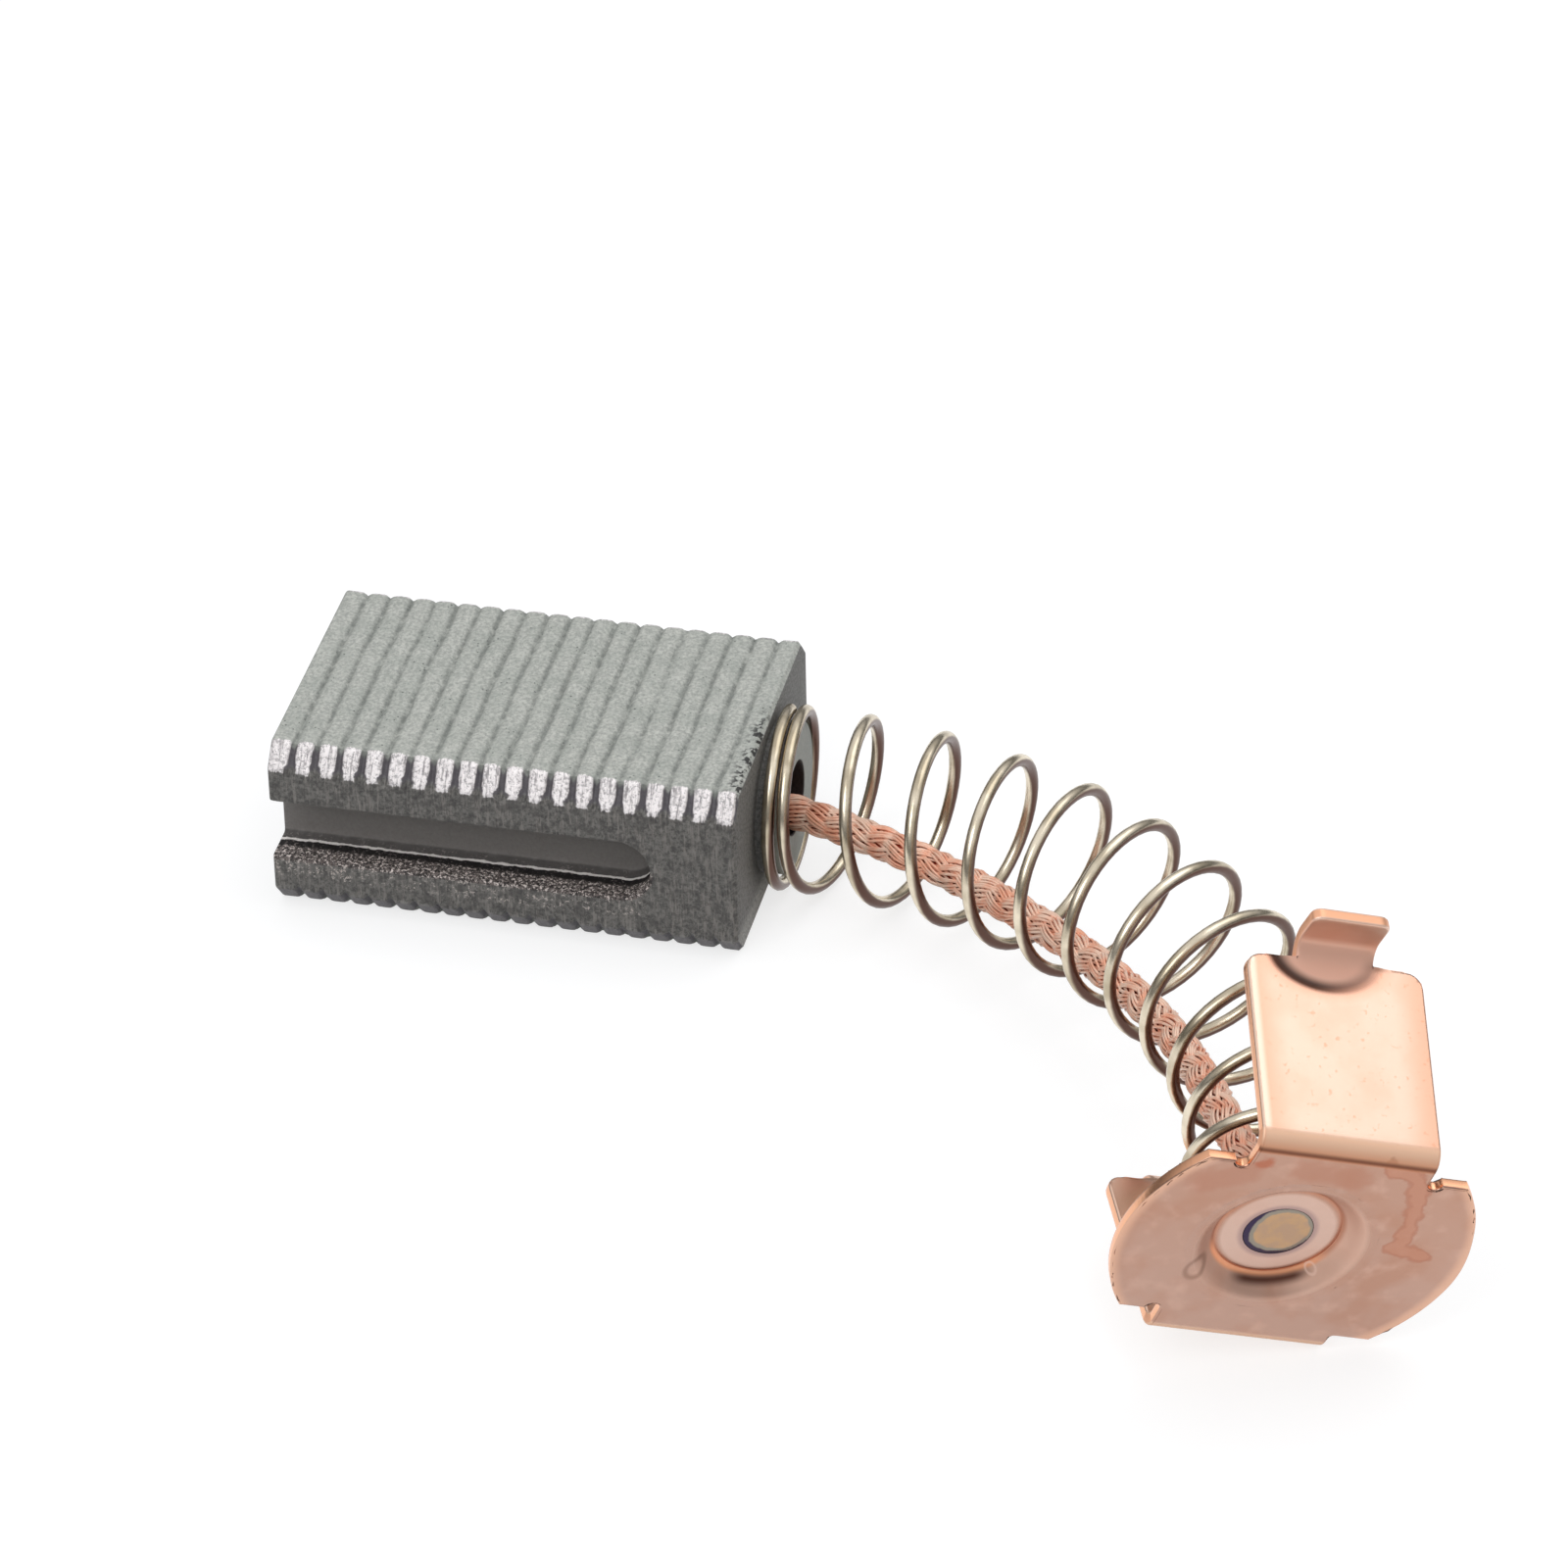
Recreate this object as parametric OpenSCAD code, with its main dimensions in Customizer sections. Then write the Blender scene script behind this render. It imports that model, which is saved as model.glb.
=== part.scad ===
// Carbon brush of a small universal motor: a ribbed carbon block, a tamped-in
// copper braid, a pressure spring round the braid and a folded copper end cap.
// Millimetres. X runs along the block from its contact face, Z is up, and the
// origin is the centre of the contact face. The brush lies on its broad side,
// with the cap bent round to the near side until it touches the same surface.

/* [Carbon block] */
// Length of the block, from the contact face to the rear face
block_l = 12; // [9:0.5:16]
// Width of the block across its broad faces
block_w = 7.9; // [6.9:0.1:9.9]
// Height of the block between its broad faces
block_h = 4.8; // [4.6:0.1:6]
// Width of the long edge chamfers, measured on the broad faces
chamfer_w = 0.5; // [0.3:0.05:0.7]
// Height of the long edge chamfers, measured on the narrow sides
chamfer_h = 0.58; // [0.3:0.02:0.8]
// Bevel of the rear corners
rear_bevel = 0.1; // [0.05:0.05:0.5]

/* [Ribs] */
// Number of cross ribs along the block
rib_count = 20; // [12:1:24]
// Depth of the grooves between the ribs
groove_depth = 0.12; // [0.06:0.02:0.2]
// Width of a groove at its mouth
groove_mouth = 0.26; // [0.18:0.02:0.32]
// Width of a groove at its bottom
groove_floor = 0.08; // [0.04:0.02:0.14]

/* [Guide slots] */
// Length of the guide slot in each narrow side, from the contact face
slot_l = 9.8; // [6:0.1:10.5]
// Height of the guide slots
slot_h = 1.7; // [1.2:0.1:2.2]
// Depth of the guide slots
slot_d = 1.15; // [0.8:0.05:1.5]

/* [Braid hole] */
// Diameter of the hole for the braid in the rear face
hole_d = 1.9; // [1.6:0.1:2.4]
// Depth of the hole
hole_depth = 6; // [4:0.5:8]
// How far the tamped powder stays below the rear face
plug_recess = 0.9; // [0.4:0.1:1.5]

/* [Pressure spring] */
// Outer diameter of the spring
spring_od = 4.75; // [4.3:0.05:4.8]
// Diameter of the spring wire
wire_d = 0.32; // [0.22:0.02:0.36]
// Closed turns on the block
turns_block = 1.25; // [1:0.25:4]
// Open turns
turns_open = 10.8; // [9:0.2:13]
// Closed turns on the cap
turns_cap = 1.5; // [1:0.1:2.5]
// Free space between the closed turns
turn_gap = 0.03; // [0.02:0.01:0.08]
// How much wider the open turns stand at the cap than at the block, as a share
pitch_growth = 0.21; // [0:0.01:0.4]
// Where the wire starts on the block, from the top towards the near side
wire_start = -134; // [-180:2:180]

/* [Braid] */
// Diameter of the copper braid
braid_d = 0.88; // [0.6:0.02:1]
// Length of braid that takes one full twist of its strands
braid_lay = 3.6; // [2.4:0.2:5]
// How far the braid lies off the middle of the spring, at its most
braid_slack = 1.55; // [0.6:0.05:1.6]

/* [Terminal cap] */
// Thickness of the copper sheet
sheet_t = 0.3; // [0.2:0.02:0.4]
// Radius of the round cap plate
cap_r = 4.25; // [3.9:0.05:5]
// Distance from the middle of the plate to the outer face of each leg
leg_reach = 3.65; // [3.5:0.05:4.2]
// Distance from the middle of the plate to the straight shoulders by the legs
shoulder_reach = 2.75; // [2.6:0.05:2.95]
// Width of the legs
leg_w = 4.45; // [3.4:0.05:4.8]
// Length of the legs, from the outer face of the plate
leg_l = 4.95; // [4:0.05:7]
// Outward lean of the upper leg
upper_splay = 12.5; // [0:0.5:15]
// Outward lean of the lower leg
lower_splay = 7; // [0:0.5:15]
// Outer radius of the folds
fold_r = 0.5; // [0.45:0.05:0.7]
// Width of the tabs on the leg ends
tab_w = 1.95; // [1.4:0.05:2.6]
// Length of the tabs
tab_l = 1.2; // [0.8:0.05:1.8]
// Angle by which the tabs turn outward
tab_bend = 84; // [60:1:90]
// Radius of the tabs' bends, on the back of the sheet
tab_fold_r = 0.65; // [0.5:0.05:0.7]

/* [Cap dimple and weld] */
// Radius of the mouth of the dimple in the plate
dimple_r = 1.95; // [1.7:0.05:1.95]
// Radius of the flat floor of the dimple
dimple_floor_r = 1.58; // [1.1:0.02:1.6]
// Depth of the dimple
dimple_depth = 0.44; // [0.3:0.02:0.6]
// How far the dimple lies off the middle of the plate
dimple_aside = 0.3; // [0:0.05:0.3]
// Diameter of the weld in the floor of the dimple
weld_d = 1.65; // [1.2:0.05:2]

/* [Lie of the cap] */
// Distance of the cap from the rear face, along the block
cap_ahead = 16.33; // [14:0.01:19]
// Distance of the cap to the near side of the block's axis
cap_aside = 17.42; // [16:0.01:20]
// Turn of the cap about the upright axis
cap_turn = 25.9; // [16:0.1:30]
// Lean of the cap, from its legs' side
cap_lean = 18.8; // [8:0.1:22]
// Pitch of the cap plate, where 90 stands upright
cap_pitch = 105.3; // [100:0.1:112]

/* [Hidden] */
$fn = 64;

// A hair of space round pieces that are pressed into round holes
fit_gap = 0.01;
// A hair of overlap that makes the flats and folds of the sheet one solid
seam = 0.0001;
// Overshoot of the cutting shapes
cut = 1;

rib_pitch = block_l / rib_count;
floor_z = -block_h / 2;
braid_r = braid_d / 2;
wire_r = wire_d / 2;
coil_r = spring_od / 2 - wire_r;
// The braid sits low in its hole, with this much powder under it
braid_bed = 0.2;
braid_drop = hole_d / 2 - braid_r - braid_bed;
collar_t = 0.3;
collar_rim = 0.12;
collar_bevel = 0.1;
collar_r = weld_d / 2 + collar_rim;
nugget_rise = 0.03;
tab_inner_r = tab_fold_r - sheet_t;
corner_r = 0.4;
tab_corner_r = 0.25;
notch_r = 0.18;
dimple_lip = 0.2;

// The three directions of the cap: across the legs, towards the upper leg, and
// out of the plate
cap_u = [cos(cap_turn) * cos(cap_lean), sin(cap_turn) * cos(cap_lean), -sin(cap_lean)];
cap_n = [
    cos(cap_turn) * sin(cap_lean) * cos(cap_pitch) + sin(cap_turn) * sin(cap_pitch),
    sin(cap_turn) * sin(cap_lean) * cos(cap_pitch) - cos(cap_turn) * sin(cap_pitch),
    cos(cap_lean) * cos(cap_pitch)
];
cap_v = cross(cap_n, cap_u);

// The lower leg in its own section: the fold, the way its tab points, and how far
// out and back the middle of the tab's rounded corner lies
lower_fold = 90 - lower_splay;
leg_run = leg_l - fold_r;
tab_run = tab_l - tab_inner_r;
tab_point = lower_fold - tab_bend;
foot_v = leg_reach - fold_r + (fold_r + tab_inner_r) * sin(lower_fold) + leg_run * cos(lower_fold)
    - tab_inner_r * sin(tab_point) + (tab_run - tab_corner_r) * cos(tab_point);
foot_n = fold_r - (fold_r + tab_inner_r) * cos(lower_fold) + leg_run * sin(lower_fold)
    + tab_inner_r * cos(tab_point) + (tab_run - tab_corner_r) * sin(tab_point);
tab_down = cos(tab_point) * cap_v[2] + sin(tab_point) * cap_n[2];
// How far below the middle of the plate the tab and the lower fold reach
tab_reach = foot_v * cap_v[2] + foot_n * cap_n[2] - (tab_w / 2 - tab_corner_r) * cap_u[2]
    + tab_corner_r * norm([tab_down, cap_u[2]]);
fold_reach = (leg_reach - fold_r) * cap_v[2] + fold_r * cap_n[2]
    + fold_r * norm([cap_v[2], cap_n[2]]) - leg_w / 2 * cap_u[2];
// The cap stands on whichever reaches lower, its tab or its fold
cap_height = floor_z + max(tab_reach, fold_reach);
cap_pos = [block_l + cap_ahead, -cap_aside, cap_height];

// The spring's middle line: straight through the closed turns at both ends, and
// one curve between them
closed_pitch = wire_d + turn_gap;
seat = wire_r + fit_gap;
rear_face = [block_l, 0, 0];
dimple_pos = cap_pos - dimple_aside * cap_u;
cap_face = dimple_pos - sheet_t * cap_n;
lead_block = seat + turns_block * closed_pitch;
lead_cap = seat + turns_cap * closed_pitch;
curve_start = rear_face + [lead_block, 0, 0];
curve_end = cap_face - lead_cap * cap_n;
curve_points = [
    curve_start,
    curve_start + [2.2, 0, 0],
    rear_face + [13, -2, 1.2],
    cap_face - 3 * cap_n + [2.05, 0.35, 0.95],
    curve_end - 0.3 * cap_n,
    curve_end
];
curve_steps = 90;
// The open turns lean off the middle line, most of all at these two ends
lean_block = [0.03, 0.25, 0];
lean_cap = [0.07, 0, -0.4];

function bezier(p, t) = len(p) == 1 ? p[0]
    : bezier([for (i = [0 : len(p) - 2]) (1 - t) * p[i] + t * p[i + 1]], t);
function unit(v) = v / norm(v);

curve_samples = [for (i = [0 : curve_steps]) bezier(curve_points, i / curve_steps)];
curve_table = [
    for (i = 0, s = 0; i <= curve_steps;
        s = s + (i < curve_steps ? norm(curve_samples[i + 1] - curve_samples[i]) : 0), i = i + 1)
        [s, i / curve_steps]
];
curve_length = curve_table[curve_steps][0];
path_length = lead_block + curve_length + lead_cap;

// Place, direction, near side and upper side at a length along the middle line
function path_place(s) = s < lead_block ? rear_face + [s, 0, 0]
    : s > lead_block + curve_length ? cap_face - (path_length - s) * cap_n
    : bezier(curve_points, lookup(s - lead_block, curve_table));
function path_dir(s) = unit(path_place(s + 0.05) - path_place(s - 0.05));
function path_side(s) = unit(cross(path_dir(s), [0, 0, 1]));
function path_up(s) = cross(path_side(s), path_dir(s));

// Triangles of a tube whose rings of k points follow one another
function tube_faces(rings, k) = concat(
    [for (i = [0 : rings - 2], j = [0 : k - 1]) [i * k + j, i * k + (j + 1) % k, (i + 1) * k + j]],
    [for (i = [0 : rings - 2], j = [0 : k - 1])
        [i * k + (j + 1) % k, (i + 1) * k + (j + 1) % k, (i + 1) * k + j]],
    [for (j = [1 : k - 2]) [0, j + 1, j]],
    [for (j = [1 : k - 2]) [(rings - 1) * k, (rings - 1) * k + j, (rings - 1) * k + j + 1]]
);

// Outline along the block of a pair of opposite ribbed faces, each at distance h
module rib_outline(h) {
    crest = [
        for (i = [1 : rib_count - 1], q = [
            [-groove_mouth / 2, 0], [-groove_floor / 2, groove_depth],
            [groove_floor / 2, groove_depth], [groove_mouth / 2, 0]
        ]) [i * rib_pitch + q[0], h - q[1]]
    ];
    side = concat([[0, h]], crest, [[block_l - rear_bevel, h], [block_l, h - rear_bevel]]);
    polygon(concat(side, [for (i = [len(side) - 1 : -1 : 0]) [side[i][0], -side[i][1]]]));
}

module ribbed_slab(h, turn) {
    rotate([turn, 0, 0]) rotate([90, 0, 0])
        linear_extrude(3 * block_w, center = true) rib_outline(h);
}

// Plan of the block, with its rear corners bevelled
module block_plan() {
    w = block_w / 2;
    polygon([
        [0, -w], [block_l - rear_bevel, -w], [block_l, rear_bevel - w],
        [block_l, w - rear_bevel], [block_l - rear_bevel, w], [0, w]
    ]);
}

module guide_slot() {
    translate([0, block_w / 2 - slot_d, 0]) rotate([-90, 0, 0]) linear_extrude(slot_d + cut) {
        translate([-cut, -slot_h / 2]) square([slot_l - slot_h / 2 + cut, slot_h]);
        translate([slot_l - slot_h / 2, 0]) circle(d = slot_h);
    }
}

// Pressed block: ribs run across both broad faces and over the long chamfers
module carbon_block() {
    chamfer_turn = atan2(chamfer_h, chamfer_w);
    chamfer_reach = (block_w / 2 - chamfer_w) * sin(chamfer_turn) + block_h / 2 * cos(chamfer_turn);
    color([0.36, 0.37, 0.37]) difference() {
        intersection() {
            translate([0, 0, -block_h]) linear_extrude(2 * block_h) block_plan();
            ribbed_slab(block_h / 2, 0);
            ribbed_slab(chamfer_reach, chamfer_turn);
            ribbed_slab(chamfer_reach, -chamfer_turn);
        }
        guide_slot();
        mirror([0, 1, 0]) guide_slot();
        translate([block_l - hole_depth, 0, 0]) rotate([0, 90, 0])
            cylinder(h = hole_depth + cut, d = hole_d);
    }
}

// Copper powder tamped round the end of the braid
module contact_plug() {
    color([0.42, 0.3, 0.24]) translate([block_l - hole_depth, 0, 0]) rotate([0, 90, 0]) difference() {
        cylinder(h = hole_depth - plug_recess, d = hole_d - 2 * fit_gap);
        translate([braid_drop, 0, hole_depth / 4])
            cylinder(h = hole_depth, r = braid_r + fit_gap);
    }
}

// The braid: straight in its hole, then along the inner side of the spring's bend
braid_tail = 3 * hole_depth / 4 - fit_gap;
braid_end = path_length - (dimple_depth + collar_t) - fit_gap;
braid_rings = 72;
braid_sides = 16;
braid_strands = 4;

// Distance off the middle line, at a share f of the run: it falls to the inner side
// of the bend soon after the hole, and comes back to the middle at the weld
function braid_off(f) = (braid_drop * pow(1 - f, 8) + braid_slack * (1 - pow(1 - f, 5)))
    * (1 - pow(f, 12));
function braid_place(s) = let (p = max(s, 0), f = p / braid_end, a = 90 * f)
    path_place(p) + braid_off(f) * (sin(a) * path_side(p) - cos(a) * path_up(p))
        + [min(s, 0), 0, 0];
function braid_radius(a) = braid_r * (0.93 + 0.07 * cos(braid_strands * a));

module pigtail() {
    run = braid_tail + braid_end;
    lengths = [for (i = [0 : braid_rings - 1]) -braid_tail + i * run / (braid_rings - 1)];
    points = [
        for (i = [0 : braid_rings - 1])
            let (
                s = lengths[i],
                last = i == braid_rings - 1,
                dir = s < 0.1 ? [1, 0, 0] : last ? cap_n
                    : unit(braid_place(s + 0.1) - braid_place(s - 0.1)),
                side = unit(cross(dir, [0, 0, 1])),
                up = cross(side, dir)
            )
            for (j = [0 : braid_sides - 1])
                let (a = 360 * j / braid_sides, twist = 360 * s / braid_lay)
                braid_place(s) + braid_radius(a - twist) * (cos(a) * up + sin(a) * side)
    ];
    color([0.85, 0.55, 0.43]) polyhedron(points, tube_faces(braid_rings, braid_sides));
}

// The spring: closed turns on the block, open turns, closed turns on the cap
turns = turns_block + turns_open + turns_cap;
turn_steps = 20;
wire_sides = 8;
// Turns over which the pitch opens and closes
pitch_blend = 0.5;
open_pitch = closed_pitch + (path_length - 2 * seat - turns * closed_pitch) / opened(turns);

function ramp(k, from) = k < from ? 0
    : k < from + pitch_blend ? (k - from) * (k - from) / (2 * pitch_blend)
    : k - from - pitch_blend / 2;
function opened(k) = let (n = ramp(k, turns_block) - ramp(k, turns - turns_cap - pitch_blend))
    n * (1 + pitch_growth * n / turns_open);
function coil_length(k) = seat + k * closed_pitch + (open_pitch - closed_pitch) * opened(k);
function lean_share(f) = f * (1 - exp(-pow(8 * (1 - f), 2)));
function turn_dir(s) = let (f = min(s / path_length, 1))
    unit(path_dir(s) + lean_share(1 - f) * lean_block + lean_share(f) * lean_cap);
function coil_out(k) =
    let (
        s = coil_length(k),
        a = 360 * k + wire_start,
        side = unit(cross(turn_dir(s), [0, 0, 1])),
        up = cross(side, turn_dir(s))
    )
    cos(a) * up + sin(a) * side;
function coil_place(k) = path_place(coil_length(k)) + coil_r * coil_out(k);

module pressure_spring() {
    rings = floor(turns * turn_steps);
    points = [
        for (i = [0 : rings])
            let (
                k = i * turns / rings,
                place = coil_place(k),
                dir = unit(coil_place(k + 0.01) - coil_place(k - 0.01)),
                across = unit(cross(dir, coil_out(k))),
                out = cross(across, dir)
            )
            for (j = [0 : wire_sides - 1])
                let (a = 360 * j / wire_sides)
                place + wire_r * (cos(a) * out - sin(a) * across)
    ];
    color([0.6, 0.56, 0.5]) polyhedron(points, tube_faces(rings + 1, wire_sides));
}

// A fold in the sheet towards its back, with outer radius r, in a strip of width w
module fold(angle, w, r) {
    translate([0, -seam, -r]) rotate([0, 90, 0]) rotate([0, 0, 180 - angle])
        rotate_extrude(angle = angle) translate([r - sheet_t, -w / 2]) square([sheet_t, w]);
}

// What follows a fold towards the back
module past_fold(angle, r) {
    translate([0, -seam, -r]) rotate([-angle, 0, 0]) translate([0, -seam, r]) children();
}

// The same sheet seen from its back, for folds the other way
module from_back() {
    translate([0, 0, -sheet_t]) mirror([0, 0, 1]) children();
}

// A strip of sheet that starts at the X axis, with its free corners rounded
module strip(w, l, r) {
    translate([0, 0, -sheet_t]) linear_extrude(sheet_t) {
        translate([-w / 2, 0]) square([w, l - r]);
        translate([r - w / 2, 0]) square([w - 2 * r, l]);
        for (side = [-1, 1]) translate([side * (w / 2 - r), l - r]) circle(r);
    }
}

// One leg: it starts at the edge of the plate, folds back and ends in a tab
module leg(splay) {
    translate([0, leg_reach - fold_r, 0]) {
        fold(90 - splay, leg_w, fold_r);
        past_fold(90 - splay, fold_r) {
            strip(leg_w, leg_run, corner_r);
            translate([0, leg_run, 0]) from_back() {
                fold(tab_bend, tab_w, tab_fold_r);
                past_fold(tab_bend, tab_fold_r) strip(tab_w, tab_run, tab_corner_r);
            }
        }
    }
}

// Outline of the round plate: straight shoulders beside the legs, small notches
// at the ends of the folds
module plate_outline() {
    difference() {
        union() {
            intersection() {
                circle(cap_r);
                square([3 * cap_r, 2 * shoulder_reach], center = true);
            }
            square([leg_w, 2 * (leg_reach - fold_r)], center = true);
        }
        for (x = [-1, 1], y = [-1, 1])
            translate([x * (leg_w / 2 + notch_r), y * shoulder_reach]) circle(notch_r);
        translate([-dimple_aside, 0]) circle(dimple_r + dimple_lip);
    }
}

// The pressed dimple, as its section from the weld hole to the plate
module dimple() {
    translate([-dimple_aside, 0, 0]) rotate_extrude() polygon([
        [weld_d / 2, -dimple_depth], [dimple_floor_r, -dimple_depth], [dimple_r, 0],
        [dimple_r + dimple_lip, 0], [dimple_r + dimple_lip, -sheet_t], [dimple_r, -sheet_t],
        [dimple_floor_r, -dimple_depth - sheet_t], [weld_d / 2, -dimple_depth - sheet_t]
    ]);
}

module in_cap_place(pos) {
    translate(pos) rotate([cap_pitch, cap_lean, cap_turn]) children();
}

module terminal_cap() {
    color([0.86, 0.6, 0.48]) in_cap_place(cap_pos) {
        translate([0, 0, -sheet_t]) linear_extrude(sheet_t) plate_outline();
        dimple();
        leg(upper_splay);
        rotate([0, 0, 180]) leg(lower_splay);
    }
}

// Fused end of the braid: a flush button in the dimple and a collar behind it
module weld_nugget() {
    r = weld_d / 2 - fit_gap;
    back = -dimple_depth - sheet_t;
    color([0.72, 0.58, 0.36]) in_cap_place(dimple_pos) rotate_extrude() polygon([
        [0, back - collar_t], [collar_r - collar_bevel, back - collar_t],
        [collar_r, back - collar_t + collar_bevel],
        [collar_r, back], [r, back], [r, -dimple_depth], [r - 0.15, nugget_rise - dimple_depth],
        [0, nugget_rise - dimple_depth]
    ]);
}

carbon_block();
contact_plug();
pigtail();
pressure_spring();
terminal_cap();
weld_nugget();
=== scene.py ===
import math

import bmesh
import bpy
import numpy as np
from mathutils import Euler, Matrix, Vector, noise


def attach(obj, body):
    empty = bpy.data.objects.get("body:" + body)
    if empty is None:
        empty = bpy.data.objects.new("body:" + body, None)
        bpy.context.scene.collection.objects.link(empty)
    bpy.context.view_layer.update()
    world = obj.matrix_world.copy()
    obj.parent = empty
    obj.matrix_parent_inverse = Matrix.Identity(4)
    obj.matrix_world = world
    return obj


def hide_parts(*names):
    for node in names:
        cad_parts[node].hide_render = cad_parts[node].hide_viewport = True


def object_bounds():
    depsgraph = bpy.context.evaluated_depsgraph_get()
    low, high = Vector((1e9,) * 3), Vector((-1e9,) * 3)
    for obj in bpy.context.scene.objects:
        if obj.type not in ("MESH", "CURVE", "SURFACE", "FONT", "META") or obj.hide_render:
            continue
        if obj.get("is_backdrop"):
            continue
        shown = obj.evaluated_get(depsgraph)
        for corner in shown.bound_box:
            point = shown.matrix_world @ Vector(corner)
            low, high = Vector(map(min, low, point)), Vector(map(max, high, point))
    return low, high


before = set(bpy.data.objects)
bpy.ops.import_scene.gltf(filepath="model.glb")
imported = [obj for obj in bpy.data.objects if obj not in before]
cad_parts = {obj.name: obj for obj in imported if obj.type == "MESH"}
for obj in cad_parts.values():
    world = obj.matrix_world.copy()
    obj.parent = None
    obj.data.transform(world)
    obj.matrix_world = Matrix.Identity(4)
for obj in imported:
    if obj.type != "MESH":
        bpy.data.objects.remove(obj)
cad_box = [list(corner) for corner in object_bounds()]

# Camera
# A long lens looks down on the brush from its near side, past the contact
# end, so that the block's ribs and the outer face of the cap both show.
MM = 0.001
EYE = (50.87, -157.23, 112.75)
EYE_RIGHT = (0.974, 0.226, -0.018)
EYE_DOWN = (0.114, -0.559, -0.821)
EYE_AHEAD = (-0.196, 0.798, -0.570)

camera = bpy.data.objects.new("camera", bpy.data.cameras.new("camera"))
bpy.context.scene.collection.objects.link(camera)
camera.data.lens = 180
camera.data.sensor_width = 36
camera.data.clip_start = 0.01
camera.matrix_world = Matrix([
    (EYE_RIGHT[i], -EYE_DOWN[i], -EYE_AHEAD[i], EYE[i] * MM) for i in range(3)
] + [(0, 0, 0, 1)])
bpy.context.scene.camera = camera
bpy.context.scene.view_settings.view_transform = "Standard"


# Studio
# The brush lies on a plain white table under a wide soft light from above and
# in front, with darker surroundings low down that give the bare metal its bands.
FLOOR_Z, TABLE_GAP, TABLE_GLOW = -2.4, 0.01, 0.72
# The places and sizes of the table and the lamps are in metres
TABLE_SIDE, TABLE_MIDDLE = 1.2, (0.014, -0.006)
LAMP_AWAY, LAMP_AIM = 0.28, Vector((0.012, 0, 0))
# Heights in the surroundings, from the horizon to straight up, and how bright each is
SURROUNDINGS = ((0.0, 0.10), (0.16, 0.10), (0.40, 0.55), (0.66, 0.98), (1.0, 1.0))


def new_material(name):
    """A node material, with its Principled shader and its node and link makers"""
    made = bpy.data.materials.new(name)
    made.use_nodes = True
    nodes, links = made.node_tree.nodes, made.node_tree.links
    shader = nodes["Principled BSDF"]

    def node(kind, inputs=None, **settings):
        n = nodes.new("ShaderNode" + kind)
        for key, value in settings.items():
            setattr(n, key, value)
        for key, value in (inputs or {}).items():
            if isinstance(value, bpy.types.NodeSocket):
                links.new(value, n.inputs[key])
            else:
                n.inputs[key].default_value = value
        return n

    def into(socket, key):
        links.new(socket, shader.inputs[key])

    return made, shader, node, into


def rgb(red, green, blue):
    """A colour as it is seen, 0 to 255, for a shader socket"""
    def linear(c):
        c /= 255
        return c / 12.92 if c <= 0.04045 else ((c + 0.055) / 1.055) ** 2.4
    return (linear(red), linear(green), linear(blue), 1)
def math_of(node, operation, a, b=0.0):
    """A sum, difference or the like of two values"""
    return node("Math", {0: a, 1: b}, operation=operation).outputs[0]


def product(node, *values):
    """The values multiplied together"""
    made = values[0]
    for value in values[1:]:
        made = math_of(node, "MULTIPLY", made, value)
    return made


bpy.ops.mesh.primitive_plane_add(size=TABLE_SIDE, location=(*TABLE_MIDDLE, (FLOOR_Z - TABLE_GAP) * MM))
table = bpy.context.object
table.name = "table"
table_white, shader, node, into = new_material("table_white")
nodes, links = table_white.node_tree.nodes, table_white.node_tree.links
shader.inputs["Base Color"].default_value = (0.36, 0.365, 0.37, 1)
shader.inputs["Roughness"].default_value = 0.9
shader.inputs["Specular IOR Level"].default_value = 0.0
rays = node("LightPath")
seen = math_of(node, "MAXIMUM", rays.outputs["Is Camera Ray"], rays.outputs["Is Glossy Ray"])
seen = math_of(node, "MAXIMUM", seen, rays.outputs["Is Transmission Ray"])
glow = node("Emission", {"Color": (1, 1, 1, 1), "Strength": product(node, seen, TABLE_GLOW)})
lift = node("AddShader", {0: shader.outputs[0], 1: glow.outputs[0]})
links.new(lift.outputs[0], nodes["Material Output"].inputs["Surface"])
table.data.materials.append(table_white)
table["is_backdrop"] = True

world = bpy.data.worlds.new("studio")
bpy.context.scene.world = world
world.use_nodes = True
nodes, links = world.node_tree.nodes, world.node_tree.links
place = nodes.new("ShaderNodeTexCoord")
split = nodes.new("ShaderNodeSeparateXYZ")
ramp = nodes.new("ShaderNodeValToRGB")
links.new(place.outputs["Generated"], split.inputs[0])
links.new(split.outputs["Z"], ramp.inputs["Fac"])
links.new(ramp.outputs["Color"], nodes["Background"].inputs["Color"])
stops = ramp.color_ramp.elements
for height, _ in SURROUNDINGS[1:-1]:
    stops.new(height)
for stop, (_, level) in zip(stops, SURROUNDINGS):
    stop.color = (level, level, level * 1.01, 1)
nodes["Background"].inputs["Strength"].default_value = 0.85

for name, heading, size, power in (
    ("softbox_front", (-0.226, -0.676, 0.697), 0.13, 0.16),
    ("softbox_top", (0.35, 0.30, 0.89), 0.20, 0.14),
):
    lamp = bpy.data.objects.new(name, bpy.data.lights.new(name, "AREA"))
    bpy.context.scene.collection.objects.link(lamp)
    lamp.data.size = size
    lamp.data.energy = power
    lamp.location = Vector(heading) * LAMP_AWAY + LAMP_AIM
    lamp.rotation_euler = Vector(heading).to_track_quat("Z", "Y").to_euler()


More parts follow.
